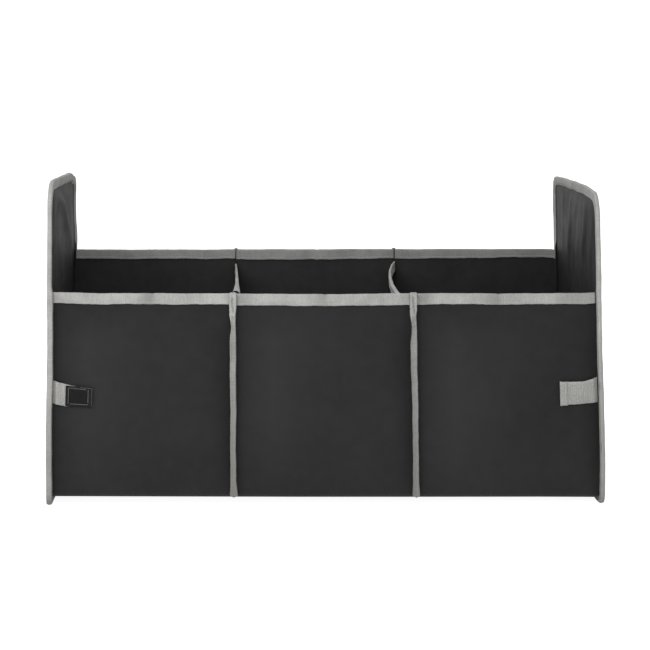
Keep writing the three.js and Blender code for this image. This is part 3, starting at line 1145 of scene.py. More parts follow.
def end_stations(inset: float, step: float) -> tuple[np.ndarray, np.ndarray]:
    """Walks round the outline of an end.

    Args:
        inset: Distance inside the outer edge of its tape.
        step: Distance between stations.

    Returns:
        Points (Y, Z) and the directions (Y, Z) into the end.
    """
    side = PLAN.half_depth + PLAN.end_seam - inset
    top = PLAN.end_height - inset
    corners = (
        (-side, inset, PLAN.end_low_radius - inset, math.pi),
        (side, inset, PLAN.end_low_radius - inset, 1.5 * math.pi),
        (side, top, PLAN.end_back_radius - inset, 0.0),
        (-side, top, PLAN.end_front_radius - inset, 0.5 * math.pi),
    )
    path = []
    for y, z, radius, turn in corners:
        centre_y = y - math.copysign(radius, y)
        centre_z = z + radius if z < 100 else z - radius
        for part in range(17):
            angle = turn + part / 16 * math.pi / 2
            path.append((centre_y + radius * math.cos(angle), centre_z + radius * math.sin(angle)))
    loop = np.array(path + path[:1])
    at = walk(loop, step)
    points = pick(loop, at)
    ahead = np.roll(points, -1, axis=0) - np.roll(points, 1, axis=0)
    inward = np.stack([-ahead[:, 1], ahead[:, 0]], axis=1)
    return points, inward / np.linalg.norm(inward, axis=1, keepdims=True)


def end_width(z: np.ndarray, inset: float) -> tuple[np.ndarray, np.ndarray]:
    """How far an end reaches to the front and back at each height.

    Args:
        z: Heights.
        inset: Distance inside the outer edge of its tape.

    Returns:
        Y of the front edge and of the back edge.
    """
    side = PLAN.half_depth + PLAN.end_seam - inset
    top = PLAN.end_height - inset
    low = PLAN.end_low_radius - inset
    reach = []
    for radius in (PLAN.end_front_radius - inset, PLAN.end_back_radius - inset):
        up = np.clip(z - (top - radius), 0, radius)
        down = np.clip(inset + low - z, 0, low)
        reach.append(side - radius + np.sqrt(radius ** 2 - up ** 2) - (low - np.sqrt(low ** 2 - down ** 2)))
    return -reach[0], reach[1]


@dataclass
class EndPanel(Sewn):
    """One tall stiff end: outer cloth, board, inner cloth and the tape round them."""

    end: End
    folds: tuple[tuple[Rows, float, float], ...]
    seed: int
    tape_low: float
    tape_back: float
    tape_high: float = 1.8
    tape_leg: float = 9.3
    cloth_inset: float = 0.8
    board_margin: float = 3.0
    board_thickness: float = 1.2
    columns: int = 66

    @property
    def name(self) -> str:
        """The end's name in the frame."""
        return self.end.name.lower() + "_end"

    def panel(self, x: float) -> tuple[Sheet, np.ndarray, np.ndarray, np.ndarray]:
        """A grid over the whole end at one distance out.

        Args:
            x: Distance from the middle of the organizer.

        Returns:
            The flat sheet, its rows going up; Y and Z of each point; how far each is inside the outline.
        """
        low, top = self.cloth_inset, PLAN.end_height - self.cloth_inset
        curve = np.linspace(0, 1, 14)
        z = np.concatenate([low + 14 * (1 - np.cos(curve * math.pi / 2)),
                            np.linspace(low + 14, top - 32, 62)[1:-1],
                            top - 32 * (1 - np.sin(curve * math.pi / 2))])
        front, back = end_width(z, self.cloth_inset)
        y = front[:, None] + (back - front)[:, None] * np.linspace(0, 1, self.columns)[None, :]
        z = np.broadcast_to(z[:, None], y.shape)
        across = np.minimum(y - front[:, None], back[:, None] - y)
        edge = np.minimum(across, np.minimum(z, PLAN.end_height - z))
        return Sheet(np.stack([np.full_like(y, self.end.value * x), y, z], axis=2)), y, z, edge

    def make_outer(self) -> None:
        """The outer cloth, drawn a little between its seams."""
        sheet, y, z, edge = self.panel(PLAN.outer_cloth_x)
        relief = ease((edge - 8) / 14) * (0.35 + 0.5 * puckers(y, z, self.seed + 3, 50, 150))
        drawn = ease((edge - 7) / 5) * bell((edge - 13) / 9) * 0.35
        relief += drawn * (1 + waves(z + y, self.seed, (11, 17, 26)))
        sheet.points[..., 0] += self.end.value * np.maximum(relief, -0.1)
        self.put_on(sheet, f"{self.name}_outer_panel", (self.end.value, 0, 0), "black_outer_cloth",
                    Slot.OUTER, f"{self.name}_outer_cloth")

    def make_inner(self) -> None:
        """The inner cloth, with the soft folds that it hangs in."""
        sheet, y, z, edge = self.panel(PLAN.inner_cloth_x)
        slack = slack_folds(sheet, edge < 9.0, Slack(seed=self.seed + 5, pull=0.0))
        simulated = soften(-self.end.value * slack[..., 0], 6)
        free = ease((edge - 9) / 16) * (0.12 + 0.88 * ease((128 - y) / 60))
        relief = 0.7 + 0.3 * puckers(y, z, self.seed + 9, 70, 170) + np.clip(simulated, -2.5, 2.5) * 0.45
        for guide, width, height in self.folds:
            relief = relief + height * fold_line(y, z, guide, width)
        sheet.points[..., 0] -= self.end.value * np.maximum(relief * free, -0.1)
        self.put_on(sheet, f"{self.name}_inner_panel", (-self.end.value, 0, 0), "black_lining_cloth",
                    Slot.LINING, f"{self.name}_inner_cloth")

    def make_board(self) -> None:
        """The board between the cloths: a plate shaped to the outline, extruded and cut into a grid."""
        points, _ = end_stations(self.cloth_inset + self.board_margin, 8.0)
        x = self.end.value * (PLAN.board_x - self.board_thickness)
        middle = PLAN.end_height / 2
        centre = Vector((x * MM, 0, middle * MM))
        bpy.ops.object.select_all(action="DESELECT")
        bpy.ops.mesh.primitive_circle_add(vertices=len(points), radius=0.1, fill_type="NGON", location=centre,
                                          rotation=(0, self.end.value * math.pi / 2, 0))
        obj = bpy.context.object
        bpy.ops.object.transform_apply(location=True, rotation=True, scale=True)
        turns = np.arctan2(points[:, 1] - middle, points[:, 0])
        for vertex in obj.data.vertices:
            angle = math.atan2(vertex.co.z - centre.z, vertex.co.y)
            spot = points[np.argmin(np.abs(np.angle(np.exp(1j * (turns - angle)))))]
            vertex.co = (x * MM, spot[0] * MM, spot[1] * MM)
        bpy.ops.object.mode_set(mode="EDIT")
        bpy.ops.mesh.select_all(action="SELECT")
        bpy.ops.mesh.remove_doubles(threshold=1e-5)
        out = self.end.value * self.board_thickness * MM
        bpy.ops.mesh.extrude_region_move(TRANSFORM_OT_translate={"value": (out, 0, 0)})
        cuts = [((0, 0, level * MM), (0, 0, 1)) for level in BOARD_LEVELS]
        cuts += [((0, place * MM, 0), (0, 1, 0)) for place in BOARD_PLACES]
        for place, normal in cuts:
            bpy.ops.mesh.select_all(action="SELECT")
            bpy.ops.mesh.bisect(plane_co=place, plane_no=normal)
        bpy.ops.mesh.select_all(action="SELECT")
        bpy.ops.mesh.normals_make_consistent(inside=False)
        bpy.ops.object.mode_set(mode="OBJECT")
        place_vertices(obj)
        obj.name = f"{self.name}_stiff_board"
        self.wardrobe.dress(obj, "grey_cardboard", Slot.BOARD, (f"{self.name}_board",))

    def make_tape(self) -> None:
        """The tape round the end, with its two rows of stitches."""
        points, inward = end_stations(0.0, 3.0)
        y, z = points[:, 0], points[:, 1]
        length = np.arange(len(points)) * 3.0
        above = ease((z - PLAN.front_rim + 4) / 10)
        fray = waves(length, self.seed + 2, (3.1, 4.7, 7.3))
        half_out = 2.6 + 0.2 * waves(length, self.seed + 1, (13, 29, 61, 97))
        upper = self.tape_high + (self.tape_back - self.tape_high) * ease((y + 90) / 200)
        lower = self.tape_low + (self.tape_back - self.tape_low) * ease((y + 120) / 240)
        half_in = lower + (upper - lower) * above + 0.2 * waves(length, self.seed + 4, (17, 37, 71))
        leg_out = self.tape_leg + 0.4 * waves(length, self.seed + 6, (19, 41, 83))
        leg_in = (self.tape_leg + 0.45 * waves(length, self.seed + 7, (11, 23, 57))
                  + 0.7 * fray * above * (y > 0))
        middle = (PLAN.half_width + PLAN.tape_face_x) / 2
        edge = np.stack([np.full(len(points), self.end.value * middle), y, z], axis=1)
        into = np.stack([np.zeros(len(points)), inward[:, 0], inward[:, 1]], axis=1)
        edge += into * (0.35 * (1 + waves(length, self.seed + 8, (15, 33, 75))))[:, None]
        edge[:, 2] = np.maximum(edge[:, 2], 0.02)
        tape = Tape(edge, into, everywhere((self.end.value, 0, 0), edge), half_out, half_in, leg_out, leg_in,
                    nose=1.1, groove=-0.35, ring=True)
        face, depth = tape.profile()
        ripple = 0.12 * np.sin(length[:, None] / 5.1 + depth * 0.9) * bell((depth - 4) / 4)
        rim = np.where(y > 0, PLAN.back_rim, PLAN.front_rim)
        clear = ease((z - rim - 2) / 10) * (half_in - 1.6)
        lying = clear[:, None] * ease((3.4 - leg_in[:, None] + depth) / 3.2) * (face < 0)
        tape.extra["side"] = ripple * np.sign(face) + lying
        sheet = tape.sheet()
        sheet.points[..., 2] = np.maximum(sheet.points[..., 2], 0.0)
        self.put_on(sheet, f"{self.name}_binding", tuple(-into[len(points) // 2]), "grey_binding_tape",
                    Slot.TAPE, f"{self.name}_edge_tape", PLAN.tape)
        seams = [tape.seam(sign) for sign in (1, -1)]
        self.stitch(f"{self.name}_stitches",
                    [(np.concatenate([line, line[:1]]), np.concatenate([out, out[:1]]))
                     for line, out in seams])

    def make(self) -> None:
        """Makes the whole end."""
        self.make_outer()
        self.make_board()
        self.make_inner()
        self.make_tape()


def place_vertices(obj: bpy.types.Object) -> None:
    """Settles the vertices of a piece that was modelled straight.

    Args:
        obj: The piece.
    """
    count = len(obj.data.vertices)
    flat = np.zeros(count * 3)
    obj.data.vertices.foreach_get("co", flat)
    points = settle(flat.reshape(-1, 3) / MM) * MM
    obj.data.vertices.foreach_set("co", points.ravel())
    obj.data.update()


# Bays

@dataclass(frozen=True)
class Edge:
    """A side of a bay: the seam at an end, or the seam at a divider."""

    x: float
    sign: int
    at_end: bool

    def reach(self, end_x: float, offset: float) -> float:
        """X of a cloth that turns into this seam.

        Args:
            end_x: Its distance from the middle of the organizer where the seam is at an end.
            offset: Its distance from the divider where it is at a divider.

        Returns:
            The cloth's X.
        """
        return self.sign * end_x if self.at_end else self.x - self.sign * offset


@dataclass
class Run:
    """The run of a bay's cloth in Y and Z, from the front rim under the floor to the back rim."""

    out: float
    down: float
    inset: float = 0.8
    front_steps: int = 50
    bend_steps: int = 7
    floor_steps: int = 44
    back_steps: int = 55

    def stations(self) -> tuple[np.ndarray, np.ndarray]:
        """Walks along the run.

        Returns:
            Points (Y, Z), and the directions (Y, Z) out of the bay.
        """
        radius = max(PLAN.floor_bend + self.out, PLAN.cloth)
        side = PLAN.half_depth + self.out
        bottom = PLAN.floor_height - self.down
        front = np.linspace(PLAN.front_rim - self.inset, bottom + radius, self.front_steps)[:-1]
        floor = np.linspace(-side + radius, side - radius, self.floor_steps)[1:-1]
        back = np.linspace(bottom + radius, PLAN.back_rim - self.inset, self.back_steps)[1:]
        points = [(-side, z) for z in front]
        outward = [(-1.0, 0.0)] * len(front)
        for sign, start in ((-1, math.pi), (1, 1.5 * math.pi)):
            for turn in np.linspace(start, start + math.pi / 2, self.bend_steps):
                points.append((sign * (side - radius) + radius * math.cos(turn),
                               bottom + radius + radius * math.sin(turn)))
                outward.append((math.cos(turn), math.sin(turn)))
            if sign < 0:
                points.extend((y, bottom) for y in floor)
                outward.extend([(0.0, -1.0)] * len(floor))
        points.extend((side, z) for z in back)
        outward.extend([(1.0, 0.0)] * len(back))
        return np.array(points), np.array(outward)


def wall_swell(t: np.ndarray) -> np.ndarray:
    """How full a front panel stands out, from its left seam at 0 to its right seam at 1."""
    return ease(t / 0.5) * ease((1 - t) / 0.12)


@dataclass
class Laid:
    """A cloth laid along the run of a bay, and where each of its points lies in it."""

    sheet: Sheet
    outward: np.ndarray
    share: np.ndarray
    width: float

    def __post_init__(self) -> None:
        """Works out the rest from the sheet as it is laid."""
        self.y, self.z = self.sheet.points[..., 1].copy(), self.sheet.points[..., 2].copy()
        self.share = np.broadcast_to(self.share[None, :], self.z.shape)
        self.across = self.share * self.width
        self.seam = np.minimum(self.across, self.width - self.across)
        self.wall = np.broadcast_to((np.abs(self.outward[:, 0]) > 0.9)[:, None], self.z.shape)
        self.rim = np.where(self.y < 0, PLAN.front_rim, PLAN.back_rim)


@dataclass
class Bay(Sewn):
    """One open bay: outer cloth, lining, base board and the tapes over its two rims."""

    name: str
    left: Edge
    right: Edge
    seed: int
    front_crease: float
    back_crease: float
    lit_side: float = 4.2
    short_front: float = 1.0
    short_back: Rows = ((0, 1.4), (1, 1.4))

    def sides(self, end_x: float, offset: float) -> tuple[float, float]:
        """X of something at both sides of the bay, as in `Edge.reach`."""
        return self.left.reach(end_x, offset), self.right.reach(end_x, offset)

    def grid(self, run: Run, sides: tuple[float, float], reach: tuple[float, float], inner: bool) -> Laid:
        """Lays a cloth along a run, with its side edges turned out into the seams.

        Args:
            run: The run it follows.
            sides: X of its left and right faces.
            reach: How far it turns out at the left and right seams.
            inner: True for the lining.

        Returns:
            The laid cloth.
        """
        path, outward = run.stations()
        width = sides[1] - sides[0]
        close = np.array([0, 1.5, 4, 8])
        inside = np.concatenate([close, np.linspace(13, width - 13, 36), width - close[::-1]])
        turned = np.array([1.0, 0.75, 0.5, 0.25, 0.1])
        fold = len(turned)
        x = np.concatenate([np.full(fold, sides[0]), sides[0] + inside, np.full(fold, sides[1])])
        out = np.concatenate([turned * reach[0], np.zeros(len(inside)), turned[::-1] * reach[1]])
        spread_x = np.broadcast_to(x, (len(path), len(x))).copy()
        spread_out = np.broadcast_to(out, spread_x.shape).copy()
        lay = ease(np.abs(outward[:, 1]) * 1.3)[:, None]
        for edge, part, sign in ((self.left, slice(0, fold), 1),
                                 (self.right, slice(len(x) - fold, len(x)), -1)):
            if edge.at_end and not inner:
                continue
            spread_x[:, part] -= lay * sign * out[part][None, :] * 0.2
            spread_out[:, part] *= 1 - lay
        points = np.stack([spread_x, path[:, :1] + outward[:, :1] * spread_out,
                           path[:, 1:] + outward[:, 1:] * spread_out], axis=2)
        points[:, fold, 0] += 0.12
        points[:, -fold - 1, 0] -= 0.12
        return Laid(Sheet(points), outward, np.clip((x - sides[0]) / width, 0, 1), width)

    def make_outer(self) -> None:
        """The outer cloth, full over the stiffeners and drawn in at the seams."""
        sides = self.sides(PLAN.flange_x, 1.6)
        reach = tuple(8.8 if edge.at_end else 6.7 for edge in (self.left, self.right))
        laid = self.grid(Run(0.0, 0.0), sides, reach, False)
        y, z, across, seam, points = laid.y, laid.z, laid.across, laid.seam, laid.sheet.points
        run = np.concatenate([[0], np.cumsum(np.linalg.norm(np.diff(points[:, 20], axis=0), axis=1))])
        along = np.broadcast_to(run[:, None], z.shape)
        free = ease(seam / 10)
        full = ease((laid.rim - 10 - z) / 55) * ease((z - 11) / 45)
        crease = bell((across + sides[0] - self.front_crease) / 5.0) * ease((z - 120) / 80)
        front = self.lit_side * wall_swell(laid.share) * full - 0.35 * crease * full
        front += full * 0.3 * puckers(across, along, self.seed + 12, 45, 120)
        back = 2.2 * np.sin(math.pi * laid.share) ** 0.5 * full
        back += 0.5 * full * puckers(across, along, self.seed + 11, 50, 140)
        drawn = bell((seam - 5) / 6) * free * waves(along, self.seed + 13, (9, 14, 23)) * 0.35
        wall = np.where(y < 0, front, back) + (drawn + 0.3 * free) * ease((laid.rim - 12 - z) / 10)
        under = free * (0.8 + 0.7 * puckers(across, along, self.seed + 14, 60, 150))
        under = under * ease((PLAN.half_depth - 6 - np.abs(y)) / 25)
        relief = np.maximum(np.where(laid.wall, wall, under), -0.1) * (seam > 0)
        points[..., 1:] += laid.outward[:, None, :] * relief[..., None]
        self.put_on(laid.sheet, f"{self.name}_bay_outer_panel", (0, 0, -1), "black_panel_cloth", Slot.OUTER,
                    f"{self.name}_bay_cloth")

    def make_lining(self) -> None:
        """The lining, slack between the seams that hold it."""
        sides = self.sides(PLAN.flange_x - 0.3, 0.8)
        reach = tuple(0.4 if edge.at_end else 9.0 for edge in (self.left, self.right))
        laid = self.grid(Run(-2.8 + PLAN.cloth, -0.8), sides, reach, True)
        y, z, across, seam, out = laid.y, laid.z, laid.across, laid.seam, laid.outward[:, :1]
        pinned = (~laid.wall) | (seam < 1.0) | (z > laid.rim - 9) | (z < 20)
        moved = slack_folds(laid.sheet, pinned, Slack(seed=self.seed + 21, growth=0.008, bending=1.2))
        sag = soften(-(moved[..., 1] * out), 3)
        run = np.broadcast_to(np.arange(len(out))[:, None] * 4.5, z.shape)
        free = ease(seam / 14) * ease((laid.rim - 9 - z) / 22) * ease((z - 16) / 25) * laid.wall
        relief = 0.5 + np.clip(sag, -3.5, 5.0) * 0.45 + 0.25 * puckers(across, run, self.seed + 23, 40, 110)
        fold = bell((across - np.where(y > 0, self.back_crease - sides[0], laid.width / 2)) / 6.0)
        laid.sheet.points[..., 1] -= out * np.maximum(relief + 0.45 * fold, -0.05) * free
        self.put_on(laid.sheet, f"{self.name}_bay_inner_lining", (0, 0, 1), "black_pocket_cloth", Slot.LINING,
                    f"{self.name}_bay_lining")

    def make_board(self) -> None:
        """The loose base board: a block with rounded corners and softened edges."""
        left, right = self.sides(PLAN.flange_x, 0.8)
        x0, x1 = left + 2.0, right - 2.0
        half = PLAN.lining_face - 2.0
        height = PLAN.board_high - PLAN.board_low
        centre = ((x0 + x1) / 2 * MM, 0.0, (PLAN.board_low + height / 2) * MM)
        bpy.ops.object.select_all(action="DESELECT")
        bpy.ops.mesh.primitive_cube_add(size=1.0, location=centre,
                                        scale=((x1 - x0) * MM, 2 * half * MM, height * MM))
        obj = bpy.context.object
        bpy.ops.object.transform_apply(location=True, rotation=True, scale=True)
        select_edges(obj, lambda a, b: abs(a.z - b.z) > 0.5 * height * MM)
        bpy.ops.mesh.bevel(offset=8 * MM, segments=6, affect="EDGES")
        bpy.ops.object.mode_set(mode="OBJECT")
        select_edges(obj, lambda a, b: abs(a.z - b.z) < 1e-6)
        bpy.ops.mesh.bevel(offset=0.8 * MM, segments=3, affect="EDGES")
        bpy.ops.object.mode_set(mode="OBJECT")
        obj.data.shade_smooth()
        select_only(obj)
        bpy.ops.object.shade_smooth_by_angle(angle=math.radians(40))
        box_uv(obj)
        place_vertices(obj)
        obj.name = f"{self.name}_bay_floor_board"
        self.wardrobe.dress(obj, "black_lining_cloth", Slot.BASE, (f"{self.name}_bay_base_board",))

    def rim_shade(self, x: np.ndarray) -> np.ndarray:
        """How much painted shade the front rim tape has: at its creases and in the shadow just right of a
        divider strip; it also darkens towards the right end.

        Args:
            x: X of each station, from the left to the right side of the bay.

        Returns:
            The share of shade at each station.
        """
        shade = 0.42 * bell((x - self.front_crease + 4) / 8) + 0.12 * bell((x - self.front_crease) / 1.7)
        if self.right.at_end:
            shade += 0.15 * ease((x - x[-1] + 45) / 45)
        if not self.left.at_end:
            shade += 0.3 * bell((x - x[0] - 9) / 8)
        return shade

    def make_rim(self, wall: Wall) -> None:
        """The tape over one rim, creased where the wall folds.

        Args:
            wall: Which wall.
        """
        front = wall is Wall.FRONT
        left, right = self.sides(PLAN.tape_face_x, PLAN.divider_seam_half)
        x0, x1 = left + 0.3, right - 0.3
        x = np.linspace(x0, x1, int((x1 - x0) / 1.6))
        crease_at = self.front_crease if front else self.back_crease
        crease = bell((x - crease_at) / 1.7)
        near = bell((x - crease_at + 9) / 7)
        seed = self.seed + (31 if front else 47)
        top = wall.rim + 0.3 * waves(x, seed, (7, 17, 43, 90)) - 0.2 - 0.25 * crease
        edge = np.stack([x, np.full_like(x, wall.value * (PLAN.half_depth - 1.4)), top], axis=1)
        half_out = 2.5 + 0.12 * waves(x, seed + 1, (21, 55)) - 0.62 * crease - 0.25 * near
        half_in = 2.4 + 0.15 * waves(x, seed + 2, (15, 39, 70)) - 0.4 * crease
        short_out = self.short_front if front else 0.0
        short_in = 0.0 if front else table(self.short_back, (x - x0) / (x1 - x0))
        leg_out = PLAN.rim_tape + 0.45 * waves(x, seed + 3, (8, 14, 33, 80)) - short_out
        leg_in = PLAN.rim_tape + 0.5 * waves(x, seed + 4, (9, 16, 45, 95)) - short_in
        tape = Tape(edge, everywhere((0, 0, -1), edge), everywhere((0, wall.value, 0), edge), half_out,
                    half_in, leg_out, leg_in, nose=1.6)
        face, depth = tape.profile()
        ripple = 0.22 * waves(x, seed + 5, (5, 8, 13))[:, None] * bell((depth - 7) / 4)
        tape.extra["side"] = ripple * np.sign(face)
        sheet = tape.sheet()
        within = 2.6 * ease((1.0 - face) / 2.0)
        if not self.left.at_end:
            sheet.points[..., 0] -= within * ease(1 - (x - x0)[:, None] / 10)
        if not self.right.at_end:
            sheet.points[..., 0] += within * ease(1 - (x1 - x)[:, None] / 10)
        if front:
            sheet.shade = self.rim_shade(x)
        # The back rim tape takes the darker tape copy with painted shade.
        name = f"{self.name}_bay_{wall.name.lower()}"
        self.put_on(sheet, f"{name}_binding", (0, 0, 1), "grey_binding_tape" if front else "grey_tape_painted_shade",
                    Slot.TAPE, f"{name}_rim_tape", PLAN.tape)
        self.stitch(f"{name}_stitches", [tape.seam(1), tape.seam(-1)])

    def make(self) -> None:
        """Makes the whole bay."""
        self.make_outer()
        self.make_lining()
        self.make_board()
        for wall in Wall:
            self.make_rim(wall)


def select_edges(obj: bpy.types.Object, wanted: Callable[[Vector, Vector], bool]) -> None:
    """Opens a piece in edit mode with only the wanted edges selected.

    Args:
        obj: The piece.
        wanted: Says whether an edge between two points is wanted.
    """
    select_only(obj)
    bpy.ops.object.mode_set(mode="EDIT")
    bpy.ops.mesh.select_mode(type="EDGE")
    bpy.ops.mesh.select_all(action="DESELECT")
    grid = bmesh.from_edit_mesh(obj.data)
    for edge in grid.edges:
        edge.select_set(wanted(edge.verts[0].co, edge.verts[1].co))
    bmesh.update_edit_mesh(obj.data)


def box_uv(obj: bpy.types.Object) -> None:
    """Gives a piece a UV map in metres, each face seen from the side that it faces.

    Args:
        obj: The piece.
    """
    layer = obj.data.uv_layers.get(UV_NAME) or obj.data.uv_layers.new(name=UV_NAME)
    for face in obj.data.polygons:
        axis = max(range(3), key=lambda k: abs(face.normal[k]))
        pair = [k for k in range(3) if k != axis]
        for loop in face.loop_indices:
            spot = obj.data.vertices[obj.data.loops[loop].vertex_index].co
            layer.data[loop].uv = (spot[pair[0]], spot[pair[1]])


# Dividers

@dataclass
class Divider(Sewn):
    """One cloth divider, its top tape and the tapes over its two seams."""

    name: str
    x: float
    seed: int
    bow: Rows
    top: Rows
    top_left: Rows
    top_right: Rows
    strip_left: Rows
    strip_right: Rows
    slit: Rows
    front_end: float = -141.9
    inner_half: float = 142.2

    def curve(self, rows: Rows, y: np.ndarray) -> np.ndarray:
        """Reads a table softly, so that a bowed edge has no corners.

        Args:
            rows: The table, by Y.
            y: Where it is read.

        Returns:
            The softened values.
        """
        fine = np.linspace(-160, 160, 321)
        kernel = bell(np.linspace(-2, 2, 25))
        values = np.convolve(np.pad(table(rows, fine), 12, mode="edge"), kernel / kernel.sum(), mode="valid")
        return np.interp(y, fine, values)

    def offset(self, y: np.ndarray, z: np.ndarray) -> np.ndarray:
        """How far the slack divider stands to the side of its seams.

        Args:
            y: Y of each place.
            z: Its height.

        Returns:
            The distance to the right.
        """
        height = np.clip((z - PLAN.floor_height) / (PLAN.front_rim - PLAN.floor_height), 0, 1.1)
        held = ease((self.inner_half - np.abs(y)) / 12)
        soft = 1.5 * np.sin(y / 31 + self.seed) * np.sin(math.pi * np.clip(height, 0, 1))
        return (self.curve(self.bow, y) * height ** 1.15 + soft) * held

    def make_cloth(self) -> None:
        """The divider's cloth, caught in the seams at its front and back."""
        caught = np.array([149.6, 147, 145, 143.5])
        y = np.concatenate([-caught, np.linspace(-self.inner_half, self.inner_half, 72), caught[::-1]])
        share = np.linspace(0, 1, 46)
        flange = np.abs(y) > 142.3
        top = np.where(flange, PLAN.front_rim - 1.2, self.curve(self.top, y) - 1.4)
        low = 10.7
        z = low + share[:, None] * (top - low)[None, :]
        wide = np.broadcast_to(y[None, :], z.shape)
        sheet = Sheet(np.stack([np.full_like(z, self.x), wide, z], axis=2))
        pinned = np.broadcast_to(flange[None, :], z.shape) | (share[:, None] < 0.03) | (share[:, None] > 0.95)
        moved = slack_folds(sheet, pinned, Slack(seed=self.seed + 3, growth=0.006, bending=2.0))
        sheet.points[..., 0] += self.offset(wide, z) + np.clip(moved[..., 0], -3, 3) * 0.6 + 0.5
        self.put_on(sheet, f"{self.name}_divider_panel", (1, 0, 0), "black_lining_cloth", Slot.LINING,
                    f"{self.name}_divider_cloth", 1.0)

    def make_top(self) -> None:
        """The tape over the divider's free edge, which opens towards the front."""
        y = np.linspace(self.front_end, self.inner_half - 0.3, 110)
        top = self.curve(self.top, y) + 0.15 * waves(y, self.seed, (13, 31))
        edge = np.stack([self.x + self.offset(y, top), y, top], axis=1)
        half_a = self.curve(self.top_right, y) + 0.1 * waves(y, self.seed + 1, (9, 21))
        half_b = self.curve(self.top_left, y) + 0.1 * waves(y, self.seed + 2, (11, 25))
        leg = 11 + 0.5 * waves(y, self.seed + 4, (15, 37))
        tape = Tape(edge, everywhere((0, 0, -1), edge), everywhere((1, 0, 0), edge), half_a, half_b, leg,
                    leg - 0.3, nose=0.9, press=0.2)
        face, depth = tape.profile()
        open_share = ease((half_a + half_b - 2.8) / 3)
        hang = self.offset(y[:, None], top[:, None] - depth) - self.offset(y, top)[:, None]
        tape.extra["side"] = hang - face * 0.45 * ease((depth - 2) / 8) * open_share[:, None]
        sheet = tape.sheet()
        drop = 1.6 * ease((half_a - 1.6) / 2.4)
        share = face / np.maximum(half_a, 0.1)[:, None]
        sheet.points[..., 2] -= drop[:, None] * ease(share) * bell(depth / 3)
        self.put_on(sheet, f"{self.name}_divider_top_binding", (0, 0, 1), "grey_binding_tape", Slot.TAPE,
                    f"{self.name}_divider_top_tape", PLAN.tape)
        rows = []
        for line, out in (tape.seam(1), tape.seam(-1)):
            shift = self.offset(y, line[:, 2]) - self.offset(y, top)
            shrink = -0.45 * ease((top - line[:, 2] - 2) / 8) * open_share
            line[:, 0] += shift + (line[:, 0] - edge[:, 0]) * shrink
            rows.append((line, out))
        self.stitch(f"{self.name}_divider_top_stitches", rows)

    def strip(self, wall: Wall) -> Tape:
        """The tape over a seam as it stands out of a wall, folded shut at its two ends.

        Args:
            wall: Which wall.

        Returns:
            The swept tape, its stations going up.
        """
        top = wall.rim + 0.4
        low = PLAN.floor_height + 1.8
        opening, closing = np.linspace(0, 1, 5)[:-1], np.linspace(0, 1, 6)[1:]
        body = np.linspace(low + 1.4, top - 1.6, 90)
        z = np.concatenate([low + 1.4 * (1 - np.cos(opening * math.pi / 2)), body,
                            top - 1.6 + 1.6 * np.sin(closing * math.pi / 2)])
        shut = np.concatenate([np.linspace(0.25, 1, 5)[:-1], np.ones(len(body)), np.cos(closing * 1.35)])
        seed = self.seed + (61 if wall is Wall.FRONT else 67)
        if wall is Wall.FRONT:
            left, right = table(self.strip_left, z), table(self.strip_right, z)
        else:
            left = right = np.full_like(z, 2.9) + 0.2 * waves(z, seed + 1, (19, 47))
        out = PLAN.half_depth + PLAN.divider_seam - 0.15 + 0.3 * waves(z, seed + 2, (13, 35, 81))
        edge = np.stack([self.x + 0.25 * waves(z, seed, (11, 27, 63)), wall.value * out, z], axis=1)
        leg = out - PLAN.half_depth - 0.25
        return Tape(edge, everywhere((0, -wall.value, 0), edge), everywhere((1, 0, 0), edge), right * shut,
                    left * shut, leg, leg, nose=0.9, groove=0.5, press=0.12, leg_rows=6, top_rows=9)

    def make_strip(self, wall: Wall) -> None:
        """The tape over one seam, with its stitches, and its turned-down top at the front.

        Args:
            wall: Which wall.
        """
        tape = self.strip(wall)
        face, depth = tape.profile()
        z = tape.edge[:, 2]
        ripple = 0.2 * waves(z, self.seed + 71, (6, 11, 19))[:, None] * bell((depth - 3) / 3)
        tape.extra["side"] = ripple * np.sign(face) * (np.abs(face) > 1.0)
        # The seam strips take the darker tape copy with painted shade.
        name = f"{self.name}_divider_{wall.name.lower()}"
        self.put_on(tape.sheet(), f"{name}_binding", (0, wall.value, 0), "grey_tape_painted_shade", Slot.TAPE,
                    f"{name}_seam_tape", PLAN.tape)
        self.stitch(f"{name}_stitches", [tape.seam(1), tape.seam(-1)], slice(6, len(z) - 7))
        if wall is Wall.FRONT:
            self.make_flap()

